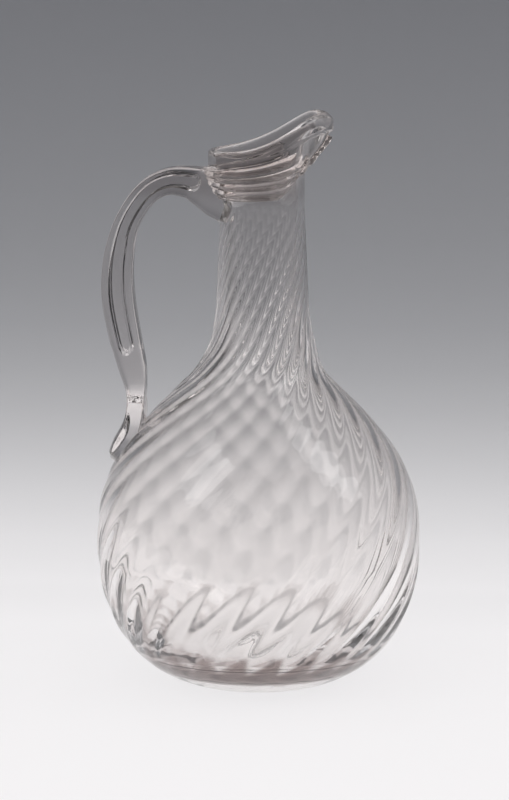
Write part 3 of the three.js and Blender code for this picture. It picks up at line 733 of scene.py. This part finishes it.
def combined(first, second, operation):
    """The two closed forms joined or cut exactly, as a new object; each face keeps its owner."""
    cut = first.modifiers.new("cut", "BOOLEAN")
    cut.object, cut.operation, cut.solver = second, operation, "MANIFOLD"
    graph = bpy.context.evaluated_depsgraph_get()
    mesh = bpy.data.meshes.new_from_object(first.evaluated_get(graph))
    first.modifiers.remove(cut)
    if not mesh.polygons:
        raise RuntimeError(f"{operation} of {first.name} and {second.name} is empty")
    return new_object(f"{first.name}_{operation.lower()}", mesh)


def discard(*objects):
    for obj in objects:
        mesh = obj.data
        bpy.data.objects.remove(obj)
        bpy.data.meshes.remove(mesh)


def values_of(items, name, width, kind):
    """One property of every item of a mesh, as an array."""
    values = np.empty(len(items) * width, dtype=kind)
    items.foreach_get(name, values)
    return values.reshape(-1, width) if width > 1 else values


def faces_by_owner(obj):
    """Faces of a mesh for each owner, as corner points and corner normals."""
    mesh = obj.data
    mesh.shade_smooth()
    mesh.set_sharp_from_angle(angle=SHARP_FROM)
    points = values_of(mesh.vertices, "co", 3, float) * MM
    normals = values_of(mesh.corner_normals, "vector", 3, float)
    corners = values_of(mesh.loops, "vertex_index", 1, np.int64)
    starts = values_of(mesh.polygons, "loop_start", 1, np.int64)
    counts = values_of(mesh.polygons, "loop_total", 1, np.int64)
    owners = values_of(mesh.attributes["owner"].data, "value", 1, np.int32)
    found = {}
    for owner in np.unique(owners):
        found[int(owner)] = [
            (points[corners[s : s + c]], normals[s : s + c])
            for s, c in zip(starts[owners == owner], counts[owners == owner])
        ]
    return found


def flat_faces(vertices, faces):
    """Faces with their own flat normals, as corner points and corner normals."""
    found = []
    for face in faces:
        points = vertices[face]
        across = np.cross(points[2] - points[0], points[-1] - points[1])
        size = np.linalg.norm(across)
        if size > TINY:
            found.append((points, np.repeat([across / size], len(points), axis=0)))
    return found


def turned_over(faces):
    """The same faces, seen from their other side."""
    return [(points[::-1], -normals[::-1]) for points, normals in faces]


def piece_from(name, shown, seams, material, form):
    """One closed piece from its shown faces and its seam faces."""
    given = [(*face, slot) for slot, group in enumerate((shown, seams)) for face in group]
    every = np.concatenate([points for points, _, _ in given])
    steps = np.round(every * MERGED_PER_MM).astype(np.int64)
    places, index = np.unique(steps, axis=0, return_inverse=True)
    index = index.reshape(-1)
    vertices = np.zeros((len(places), 3))
    vertices[index] = every
    faces, normals, slots, at = [], [], [], 0
    for points, ways, slot in given:
        face = index[at : at + len(points)]
        keep = [i for i in range(len(points)) if face[i] != face[i - 1]]
        if len(keep) > 2 and len(set(face[keep].tolist())) == len(keep):
            faces.append(face[keep].tolist())
            normals.extend(ways[keep])
            slots.append(slot)
        at += len(points)
    mesh = bpy.data.meshes.new(name)
    mesh.from_pydata((vertices / MM).tolist(), [], faces)
    mesh.polygons.foreach_set("material_index", np.array(slots, dtype=np.int32))
    mesh.update()
    mesh.normals_split_custom_set([tuple(n) for n in normals])
    heavy = mesh.attributes.new("heavy", "FLOAT", "POINT")
    heavy.data.foreach_set("value", form.heavy(vertices).astype(np.float32))
    mesh.materials.append(material)
    mesh.materials.append(seam_material())
    return new_object(f"{name}_glass", mesh)


def in_mm(group):
    """The settings of a group, with its lengths in millimetres."""
    values = {}
    for name, prop in group.bl_rna.properties.items():
        if name in ("rna_type", "name"):
            continue
        value = getattr(group, name)
        values[name] = value * MM if getattr(prop, "unit", "") == "LENGTH" else value
    return SimpleNamespace(**values)


def form_of(scene):
    return BlownForm(in_mm(scene.carafe_body), in_mm(scene.carafe_mouth), in_mm(scene.carafe_ribs))


fused = {}


def fused_glass(context):
    """Shown faces and seam faces of every piece, worked out once."""
    if fused:
        return fused
    scene = context.scene
    form = form_of(scene)
    trails, scar = in_mm(scene.carafe_trails), in_mm(scene.carafe_scar)
    outer, (lip, lip_across), inner = form.outer_rows(), form.lip_rows(), form.inner_rows()
    rows = np.concatenate([outer, lip[1:-1], inner])
    across = np.concatenate([np.zeros(len(outer)), lip_across[1:-1], np.ones(len(inner))])
    grid, radius, height, angle = closed_form(form, rows, across)
    away = form.from_spout(angle)

    # How deep the glass laid on the outside is at each point, for each piece
    depths = np.zeros((len(PIECES) - 1, *radius.shape))
    under = KICK_ROWS + FOOT_ROWS - 1
    on = slice(under, len(outer) - 1)
    depths[OWNER["lip_ledge"], on] = ledge_depth(form, trails, height[on], away[on])
    depths[OWNER["neck_threads"], on] = threads_depth(form, trails, height[on], away[on])
    depths[OWNER["spout_strip"], on] = strip_depth(form, trails, height[on], away[on], radius[on])
    depths[OWNER["thread_drop"], on] = drop_depth(form, trails, grid[on], away[on])
    depths[OWNER["pontil_scar"], :under] = scar_depth(scar, grid[:under], radius[:under])
    depths[depths < LEAST_DEPTH] = 0
    depth, piece = depths.max(axis=0), depths.argmax(axis=0)
    laid = form.worked(radius + depth, height, angle, across[1:-1, None])
    laid[:under] = grid[:under] - depth[:under, :, None] * (0, 0, 1)

    poles = [(0, 0, rows[0, 1]), (0, 0, rows[-1, 1])]
    base = np.concatenate([[poles[0]], grid.reshape(-1, 3), [poles[1]]])
    scar_pole = scar_depth(scar, np.array([poles[0]]), np.zeros(1))[0]
    low_pole = np.subtract(poles[0], (0, 0, scar_pole))
    top = np.concatenate([[low_pole], laid.reshape(-1, 3), [poles[1]]])
    deep = np.concatenate([[scar_pole], depth.reshape(-1), [0]])
    whose = np.concatenate([[OWNER["pontil_scar"]], piece.reshape(-1), [0]])
    quads, start, end = grid_faces(len(rows), SEGMENTS)
    # A face belongs to the piece that is deepest at one of its corners
    owners = []
    for group in (quads, start, end):
        at = deep[group]
        picked = whose[group[np.arange(len(group)), at.argmax(axis=1)]]
        owners.append(np.where(at.max(axis=1) > 0, picked, 0))
    faces, owner = face_lists((quads, start, end)), np.concatenate(owners)

    skin = mesh_of("skin", top, faces, owner)
    rod = handle_object(form, in_mm(scene.carafe_handle))
    whole = combined(skin, rod, "UNION")
    shared = combined(skin, rod, "INTERSECT")
    shown, hidden = faces_by_owner(whole), faces_by_owner(shared)
    discard(skin, rod, whole, shared)

    handle = OWNER["handle"]
    covered = []
    for i, name in enumerate(PIECES[:-1]):
        seams = hidden.get(i, [])
        covered += seams
        if i:
            mine = [faces[f] for f in np.flatnonzero(owner == i)]
            seat = flat_faces(base, mine)
            sides = flat_faces(*seat_sides(base, top, mine))
            fused[name] = (shown.get(i, []), seams + turned_over(seat) + sides)
            fused["vessel"][1].extend(seat)
        else:
            fused[name] = (shown[i], list(seams))
    fused["handle"] = (shown[handle], turned_over(covered))
    return fused


def seat_sides(base, top, faces):
    """Faces that close a laid piece where it ends against its neighbour with some depth."""
    edges = {}
    for face in faces:
        for a, b in zip(face, face[1:] + face[:1]):
            if (b, a) in edges:
                del edges[b, a]
            else:
                edges[a, b] = True
    deep = np.linalg.norm(top - base, axis=1) > SMALL
    count = len(base)
    sides = []
    for a, b in edges:
        if deep[a] or deep[b]:
            side = [a, b] + ([count + b] if deep[b] else []) + ([count + a] if deep[a] else [])
            sides.append(side[::-1])
    return np.concatenate([top, base]), sides


def core_object(form):
    """A form that fills the vessel's hollow and reaches halfway into its wall."""
    top = form.lip_height - CORE_BELOW_LIP
    height = np.linspace(CORE_FOOT, top, CORE_ROWS)
    depth = form.ribs.depth
    radius = form.outside_radius(height) - depth - (form.wall(height) - depth) / 2
    rows = np.concatenate([[(0, CORE_FOOT)], np.stack([radius, height], axis=1), [(0, top)]])
    grid, *_ = closed_form(form, rows, np.ones(len(rows)))
    vertices = np.concatenate([[(0, 0, CORE_FOOT)], grid.reshape(-1, 3), [grid[-1].mean(axis=0)]])
    faces = face_lists(grid_faces(len(rows), SEGMENTS))
    return mesh_of("core", vertices, faces, [OWNER["vessel"]] * len(faces))


def handle_object(form, sizes):
    """The rod, without the part of its root and pad that would reach into the vessel's hollow."""
    points = handle_surface(form, sizes)
    rings, around = points.shape[:2]
    ends = [points[0].mean(axis=0)], [points[-1].mean(axis=0)]
    vertices = np.concatenate([ends[0], points.reshape(-1, 3), ends[1]])
    faces = [face[::-1] for face in face_lists(grid_faces(rings + 2, around))]
    rod = mesh_of("rod", vertices, faces, [OWNER["handle"]] * len(faces))
    core = core_object(form)
    cut = combined(rod, core, "DIFFERENCE")
    tags = np.full(len(cut.data.polygons), OWNER["handle"], dtype=np.int32)
    cut.data.attributes["owner"].data.foreach_set("value", tags)
    discard(rod, core)
    return cut


# Materials

# Each glass: its colour among the settings, length and depth of its waves in mm, what it lets through to
# the paper, its tint where it is seen along its surface, partly the brown of a long way through glass and
# partly painted shade on its edges, and how close to the edge that stays
GLASSES = {
    "blown_soda_glass": ("blown", 9, 0.02, 0.97, "#9C8C85", 4),
    "trailed_soda_glass": ("trailed", 5, 0.03, 0.95, "#9C8C85", 4),
    # The handle's edge tint is darker and reaches further in: more painted shade on its edges
    "drawn_soda_glass": ("drawn", 7, 0.02, 0.95, "#7A6D68", 2),
}
# Colour of the painted shade in the heel's ring and of the tint of thick glass
THICK_AND_SHADE_TINT = "#9E908D"
CORDS_PER_METRE = 55
CORD_SHADE = 0.985


def add(tree, kind, settings=None, **links):
    """Adds a shader node with its settings, and links sockets to its inputs by name or number."""
    node = tree.nodes.new("ShaderNode" + kind)
    for name, value in (settings or {}).items():
        if isinstance(name, str) and hasattr(node, name):
            setattr(node, name, value)
        else:
            node.inputs[name].default_value = value
    for name, socket in links.items():
        key = int(name[1:]) if name[0] == "_" else name.replace("_", " ")
        tree.links.new(socket, node.inputs[key])
    return node


def either(tree, first, second):
    """The larger of two values, such as two kinds of ray."""
    return add(tree, "Math", {"operation": "MAXIMUM"}, _0=first, _1=second).outputs[0]


def mixed_shaders(tree, share, first, second):
    return add(tree, "MixShader", {}, _0=share, _1=first, _2=second).outputs[0]


def tinted(tree, share, colour_from, tint):
    """A colour that goes over to a tint by a share."""
    settings = {"data_type": "RGBA", 7: (*tint, 1)}
    return add(tree, "Mix", settings, _0=share, _6=colour_from).outputs[2]


def set_stops(ramp, stops):
    """Gives a colour ramp its stops, from its start on: places and linear colours."""
    points = ramp.color_ramp.elements
    for i, (place, shown) in enumerate(stops):
        point = points[i] if i < 2 else points.new(place)
        point.position = place
        point.color = (*shown, 1)


def new_material(name):
    material = bpy.data.materials.new(name)
    material.use_nodes = True
    material.node_tree.nodes.clear()
    return material, material.node_tree


def seam_material():
    """Fused seam: two gathers of hot glass have melted into one, so light meets nothing there."""
    material = bpy.data.materials.get("fused_seam")
    if material:
        return material
    material, tree = new_material("fused_seam")
    clear = add(tree, "BsdfTransparent", {"Color": (1, 1, 1, 1)})
    add(tree, "OutputMaterial", {}, Surface=clear.outputs[0])
    return material


def glass_material(name, tint, ior, wave_mm, wave_depth_mm, through, edge, edge_shade_power):
    """Soda glass, fire polished: sharp reflections on a surface with the soft unevenness of hand work."""
    material, tree = new_material(name)
    place = add(tree, "TexCoord").outputs["Object"]
    # Soft waves left by blowing and turning, a few millimetres long and only microns deep
    settings = {"Scale": MM / wave_mm, "Detail": 2.0, "Roughness": 0.45}
    waves = add(tree, "TexNoise", settings, Vector=place)
    settings = {"Strength": 1.0, "Distance": wave_depth_mm / MM}
    bump = add(tree, "Bump", settings, Height=waves.outputs[0])
    # Cords: streaks of slightly denser glass
    settings = {"Scale": CORDS_PER_METRE, "Detail": 3.0, "Distortion": 0.6}
    cords = add(tree, "TexNoise", settings, Vector=place)
    settings = {"data_type": "RGBA", 6: (*tint, 1), 7: (*(part * CORD_SHADE for part in tint), 1)}
    streaks = add(tree, "Mix", settings, _0=cords.outputs[0])
    # Seen along its surface, light has come a long way inside the glass and turned brown; the darker tint
    # there is partly painted shade on the edges
    slant = add(tree, "LayerWeight", {"Blend": 0.5})
    settings = {"operation": "POWER", 1: edge_shade_power}
    long_way_and_edge_shade = add(tree, "Math", settings, _0=slant.outputs["Facing"])
    deep = tinted(tree, long_way_and_edge_shade.outputs[0], streaks.outputs[2], linear(edge))
    # Painted shade in the heel's ring, mostly in front, mixed with the tint that the thickest glass takes
    heavy = add(tree, "Attribute", {"attribute_name": "heavy"})
    thick = tinted(tree, heavy.outputs["Fac"], deep, linear(THICK_AND_SHADE_TINT))
    settings = {"Roughness": 0.0, "IOR": ior, "Transmission Weight": 1.0}
    body = add(tree, "BsdfPrincipled", settings, Base_Color=thick, Normal=bump.outputs[0])
    # Light reaches the paper through the glass, a little weaker
    clear = add(tree, "BsdfTransparent", {"Color": (through, through, through, 1)})
    path = add(tree, "LightPath").outputs
    to_paper = either(tree, path["Is Shadow Ray"], path["Is Diffuse Ray"])
    surface = mixed_shaders(tree, to_paper, body.outputs[0], clear.outputs[0])
    add(tree, "OutputMaterial", {}, Surface=surface)
    return material


def glass(context, name):
    """One of the three glasses, made at its first use."""
    look = context.scene.carafe_glass
    if name not in bpy.data.materials:
        tint, *rest = GLASSES[name]
        glass_material(name, tuple(getattr(look, tint)), look.ior, *rest)
    return bpy.data.materials[name]


def place_piece(context, node, material):
    """Builds one piece, sets it on the frame and hides the solid it stands for."""
    shown, seams = fused_glass(context)[node]
    piece = piece_from(node, shown, seams, glass(context, material), form_of(context.scene))
    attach(piece, "root")
    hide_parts(node)
    return piece


# Operators


class CARAFE_OT_vessel(Operator):
    """Blow the ribbed body, neck and mouth"""

    bl_idname = "carafe.vessel"
    bl_label = "Vessel"

    def execute(self, context):
        place_piece(context, "vessel", "blown_soda_glass")
        return {"FINISHED"}


class CARAFE_OT_wound_threads(Operator):
    """Wind the ledge and the thin turns round the mouth"""

    bl_idname = "carafe.wound_threads"
    bl_label = "Wound threads"

    def execute(self, context):
        for node in ("lip_ledge", "neck_threads"):
            place_piece(context, node, "trailed_soda_glass")
        return {"FINISHED"}


class CARAFE_OT_spout_trim(Operator):
    """Lay the strip under the spout and the drop beside it"""

    bl_idname = "carafe.spout_trim"
    bl_label = "Spout strip and drop"

    def execute(self, context):
        for node in ("spout_strip", "thread_drop"):
            place_piece(context, node, "trailed_soda_glass")
        return {"FINISHED"}


class CARAFE_OT_handle(Operator):
    """Draw the handle and press its pad"""

    bl_idname = "carafe.handle"
    bl_label = "Handle"

    def execute(self, context):
        place_piece(context, "handle", "drawn_soda_glass")
        return {"FINISHED"}


class CARAFE_OT_pontil_scar(Operator):
    """Leave the broken scar under the base"""

    bl_idname = "carafe.pontil_scar"
    bl_label = "Pontil scar"

    def execute(self, context):
        place_piece(context, "pontil_scar", "blown_soda_glass")
        return {"FINISHED"}


class CARAFE_OT_stage(Operator):
    """Set up the camera, the sheet of paper, the room's light and the lamps"""

    bl_idname = "carafe.stage"
    bl_label = "Stage"

    def execute(self, context):
        scene = context.scene
        make_camera(scene)
        make_paper(scene)
        make_world(scene)
        make_lamps()
        scene.view_settings.view_transform = "Standard"
        scene.cycles.max_bounces = GLASS_BOUNCES
        scene.cycles.transmission_bounces = GLASS_BOUNCES
        scene.cycles.glossy_bounces = GLASS_BOUNCES
        scene.cycles.transparent_max_bounces = CLEAR_BOUNCES
        return {"FINISHED"}


# Stage, in metres

# Light passes many walls of glass, and more where it meets seams or goes through to the paper
GLASS_BOUNCES = 40
CLEAR_BOUNCES = 64
CAMERA = {
    "tilt": math.radians(10),
    "swing": math.radians(5),
    "distance": 1.31742,
    "looks_at": 0.10844,
    "lens": 143.9,
    "sensor": 36,
    "shift_x": -0.00505,
    "shift_y": 0.0259,
}
PAPER_ROWS = {"flat": 90, "bend": 25, "upright": 30}
PAPER_COLUMNS = 40
PAPER_STOPS = 28
# The paper's colour has painted shade, for the light that falls off up the sheet: grey at the top of the
# picture and pale below. The share of pale grows evenly on the way down, and on top of that ever faster, up
# to the place from which the paper is all pale.
PAPER_SHADED_GREY = "#747579"
PAPER_PALE = "#F2F0F1"
PAPER_GROWTH = 0.48
PALE_FROM = 0.865
PALE_SPREAD = 0.325
PALE_POWER = 2.5
# The room as the glass shows it: its colours from below the carafe up to overhead
ROOM_SHADES = (
    (0.0, "#76777B"),
    (0.1, "#707175"),
    (0.3, "#666669"),
    (0.6, "#626160"),
    (0.86, "#6A6866"),
    (0.93, "#DAD8D6"),
)
# How much of them is left, from where the camera stands (0) over the sides (0.5) to behind the carafe (1)
ROOM_DIM = ((0.3, 0.2), (0.5, 0.35), (0.85, 1))
# Place, width and height, and watts of each soft box, and the height that they look at
SOFT_BOXES = {
    "soft_box_left": ((-1.1, -0.9, 1.5), (0.7, 1.2), 4.0),
    "soft_box_right": ((1.2, -0.2, 1.3), (0.5, 1.1), 3.0),
}
SOFT_BOX_AIM = 0.12


def make_camera(scene):
    tilt, swing, distance = CAMERA["tilt"], CAMERA["swing"], CAMERA["distance"]
    data = bpy.data.cameras.new("camera")
    data.lens, data.sensor_width = CAMERA["lens"], CAMERA["sensor"]
    data.shift_x, data.shift_y = CAMERA["shift_x"], CAMERA["shift_y"]
    data.clip_end = 50
    camera = new_object("camera", data)
    back = (math.sin(swing) * math.cos(tilt), -math.cos(swing) * math.cos(tilt), math.sin(tilt))
    camera.location = [distance * b for b in back]
    camera.location.z += CAMERA["looks_at"]
    camera.rotation_euler = (math.radians(90) - tilt, 0, swing)
    scene.camera = camera


def paper_profile(look):
    """Distance behind the carafe, height and run of the paper, from in front up to its top edge."""
    start = look.wall - look.bend
    flat = np.linspace(-look.front, start, PAPER_ROWS["flat"])[:-1]
    bend = np.linspace(0, np.pi / 2, PAPER_ROWS["bend"])
    up = np.linspace(look.bend, look.top, PAPER_ROWS["upright"])[1:]
    behind = np.concatenate([flat, start + look.bend * np.sin(bend), look.wall + 0 * up])
    height = np.concatenate([0 * flat, look.bend * (1 - np.cos(bend)), up])
    run = np.concatenate([[0], np.cumsum(np.hypot(np.diff(behind), np.diff(height)))])
    return behind, height, run


def seen_at(behind, height):
    """Where the camera sees a place of the paper, from 0 at the top of the picture to 1."""
    tilt, above = CAMERA["tilt"], height - CAMERA["looks_at"]
    level = above * math.cos(tilt) + behind * math.sin(tilt)
    depth = CAMERA["distance"] + behind * math.cos(tilt) - above * math.sin(tilt)
    return 0.5 + CAMERA["shift_y"] - CAMERA["lens"] / CAMERA["sensor"] * level / depth


def paper_colour_with_shade(seen):
    """Linear colour that the camera sees at a height in the picture, with the fall of light up the paper
    painted in as shade.
    """
    grown = PAPER_GROWTH * seen
    away = np.clip((PALE_FROM - seen) / PALE_SPREAD, 0, None)
    share = grown + (1 - grown) * np.exp(-(away**PALE_POWER))
    grey, pale = srgb(PAPER_SHADED_GREY), srgb(PAPER_PALE)
    return unbent(grey + share[:, None] * (pale - grey))


def light_on(behind, height, given):
    """Light that falls on each row of the paper from the open room and from its other rows."""
    places = np.stack([behind, height], axis=1)
    along = np.gradient(places, axis=0)
    along /= np.linalg.norm(along, axis=1)[:, None]
    facing = np.stack([-along[:, 1], along[:, 0]], axis=1)
    light = np.zeros(len(places))
    for i, place in enumerate(places):
        ways = places - place
        far = np.maximum(np.linalg.norm(ways, axis=1), TINY)
        sine = ways @ along[i] / far
        sine[i] = -1 if i == len(places) - 1 else sine[i + 1]
        above = ways @ facing[i] / far > SMALL
        share = np.abs(np.diff(sine)) / 2 * (above[1:] & above[:-1])
        middle = (given[1:] + given[:-1]) / 2
        light[i] = 1 - share.sum() + share @ middle
    return light


def paper_mesh(width, behind, height, run):
    """The sheet, with the share of its run at each point."""
    across = np.linspace(-width / 2, width / 2, PAPER_COLUMNS)
    rows, columns = len(run), PAPER_COLUMNS
    vertices = np.stack(
        [np.tile(across, rows), np.repeat(behind, columns), np.repeat(height, columns)], axis=1
    )
    first = (np.arange(rows - 1)[:, None] * columns + np.arange(columns - 1)).reshape(-1)
    faces = np.stack([first, first + 1, first + columns + 1, first + columns], axis=1)
    mesh = bpy.data.meshes.new("paper")
    mesh.from_pydata(vertices.tolist(), [], faces.tolist())
    mesh.polygons.foreach_set("use_smooth", [True] * len(faces))
    along = mesh.attributes.new("run", "FLOAT", "POINT")
    along.data.foreach_set("value", np.repeat(run / run[-1], columns).astype(np.float32))
    return mesh


def paper_material(lamps, behind, height, run):
    """Matt paper whose colour has painted shade, a soft fade to grey towards its top, so that under its
    uneven light it looks as it should.
    """
    material, tree = new_material("matt_paper")
    place = add(tree, "Attribute", {"attribute_name": "run"})
    ramp = add(tree, "ValToRGB", {}, Fac=place.outputs["Fac"])
    seen = seen_at(behind, height)
    wanted = paper_colour_with_shade(seen)
    # Painted light: the colour is divided by the light that falls there, so the paper's own shade in its
    # bend and higher up is cancelled
    colours = wanted / (light_on(behind, height, wanted.mean(axis=1)) + lamps)[:, None]
    places = np.interp(np.linspace(-1, -seen[-1], PAPER_STOPS), -seen, run)
    shades = np.stack([np.interp(places, run, part) for part in colours.T], axis=1)
    set_stops(ramp, zip((places / run[-1]).tolist(), shades.tolist()))
    settings = {"Roughness": 0.9, "Specular IOR Level": 0.1}
    matt = add(tree, "BsdfPrincipled", settings, Base_Color=ramp.outputs[0])
    # Its back is left out, so that the carafe can be looked at from behind too
    side = add(tree, "NewGeometry")
    clear = add(tree, "BsdfTransparent")
    shown = mixed_shaders(tree, side.outputs["Backfacing"], matt.outputs[0], clear.outputs[0])
    add(tree, "OutputMaterial", {}, Surface=shown)
    return material


def make_paper(scene):
    """One sheet of matt paper, flat under the carafe and bent up behind it, with painted shade that makes
    it darker towards its top.
    """
    look = scene.carafe_stage
    profile = paper_profile(look)
    mesh = paper_mesh(look.width, *profile)
    mesh.materials.append(paper_material(look.lamps, *profile))
    paper = new_object("paper", mesh)


def make_world(scene):
    """Even light, and for the eye, reflections and refractions a studio that is grey above."""
    world = bpy.data.worlds.new("studio")
    world.use_nodes = True
    tree = world.node_tree
    tree.nodes.clear()
    place = add(tree, "TexCoord")
    axes = add(tree, "SeparateXYZ", {}, _0=place.outputs["Generated"])
    shades = add(tree, "ValToRGB", {}, Fac=axes.outputs[2])
    set_stops(shades, [(height, linear(code)) for height, code in ROOM_SHADES])
    # Beside the carafe and where the camera stands the room is dark
    behind = add(tree, "MapRange", {1: -1.0, 2: 1.0}, _0=axes.outputs[1])
    dim = add(tree, "ValToRGB", {}, Fac=behind.outputs[0])
    set_stops(dim, [(at, (left, left, left)) for at, left in ROOM_DIM])
    settings = {"operation": "MULTIPLY"}
    dimmed = add(tree, "VectorMath", settings, _0=shades.outputs[0], _1=dim.outputs[0])
    seen = add(tree, "Background", {"Strength": 1.0}, Color=dimmed.outputs[0])
    light = add(tree, "Background", {"Color": (1, 1, 1, 1), "Strength": 1.0})
    path = add(tree, "LightPath").outputs
    in_glass = either(tree, path["Is Glossy Ray"], path["Is Transmission Ray"])
    looked_at = either(tree, in_glass, path["Is Camera Ray"])
    surface = mixed_shaders(tree, looked_at, light.outputs[0], seen.outputs[0])
    add(tree, "OutputWorld", {}, Surface=surface)
    scene.world = world


def make_lamps():
    """Large soft boxes at both sides, weak beside the even light of the room."""
    for name, (place, size, power) in SOFT_BOXES.items():
        data = bpy.data.lights.new(name, "AREA")
        data.shape, data.size, data.size_y, data.energy = "RECTANGLE", *size, power
        lamp = new_object(name, data)
        lamp.location = place
        way = -np.array(place) + (0, 0, SOFT_BOX_AIM)
        down = math.atan2(math.hypot(way[0], way[1]), -way[2])
        lamp.rotation_euler = (down, 0, math.atan2(way[1], way[0]) - math.pi / 2)


class CARAFE_PT_pieces(Panel):
    """Lists the steps that build the carafe"""

    bl_idname = "CARAFE_PT_pieces"
    bl_label = "Blown Glass Carafe"
    bl_space_type = "VIEW_3D"
    bl_region_type = "UI"
    bl_category = "Carafe"

    def draw(self, context):
        layout = self.layout
        for step in STEPS:
            layout.operator(step.bl_idname)
        for name in SETTINGS:
            box = layout.box()
            group = getattr(context.scene, name)
            for prop in group.bl_rna.properties:
                if prop.identifier not in ("rna_type", "name"):
                    box.prop(group, prop.identifier)


SETTINGS = {
    "carafe_body": BodySizes,
    "carafe_mouth": MouthSizes,
    "carafe_ribs": RibSizes,
    "carafe_trails": TrailSizes,
    "carafe_handle": HandleSizes,
    "carafe_scar": ScarSizes,
    "carafe_glass": GlassLook,
    "carafe_stage": StageLook,
}
STEPS = (
    CARAFE_OT_stage,
    CARAFE_OT_vessel,
    CARAFE_OT_wound_threads,
    CARAFE_OT_spout_trim,
    CARAFE_OT_handle,
    CARAFE_OT_pontil_scar,
)
CLASSES = (*SETTINGS.values(), *STEPS, CARAFE_PT_pieces)


def register():
    for cls in CLASSES:
        bpy.utils.register_class(cls)
    for name, group in SETTINGS.items():
        setattr(bpy.types.Scene, name, PointerProperty(type=group))


def unregister():
    for name in SETTINGS:
        delattr(bpy.types.Scene, name)
    for cls in reversed(CLASSES):
        bpy.utils.unregister_class(cls)


def main():
    register()
    for step in STEPS:
        group, name = step.bl_idname.split(".")
        getattr(getattr(bpy.ops, group), name)()


if __name__ == "__main__":
    main()
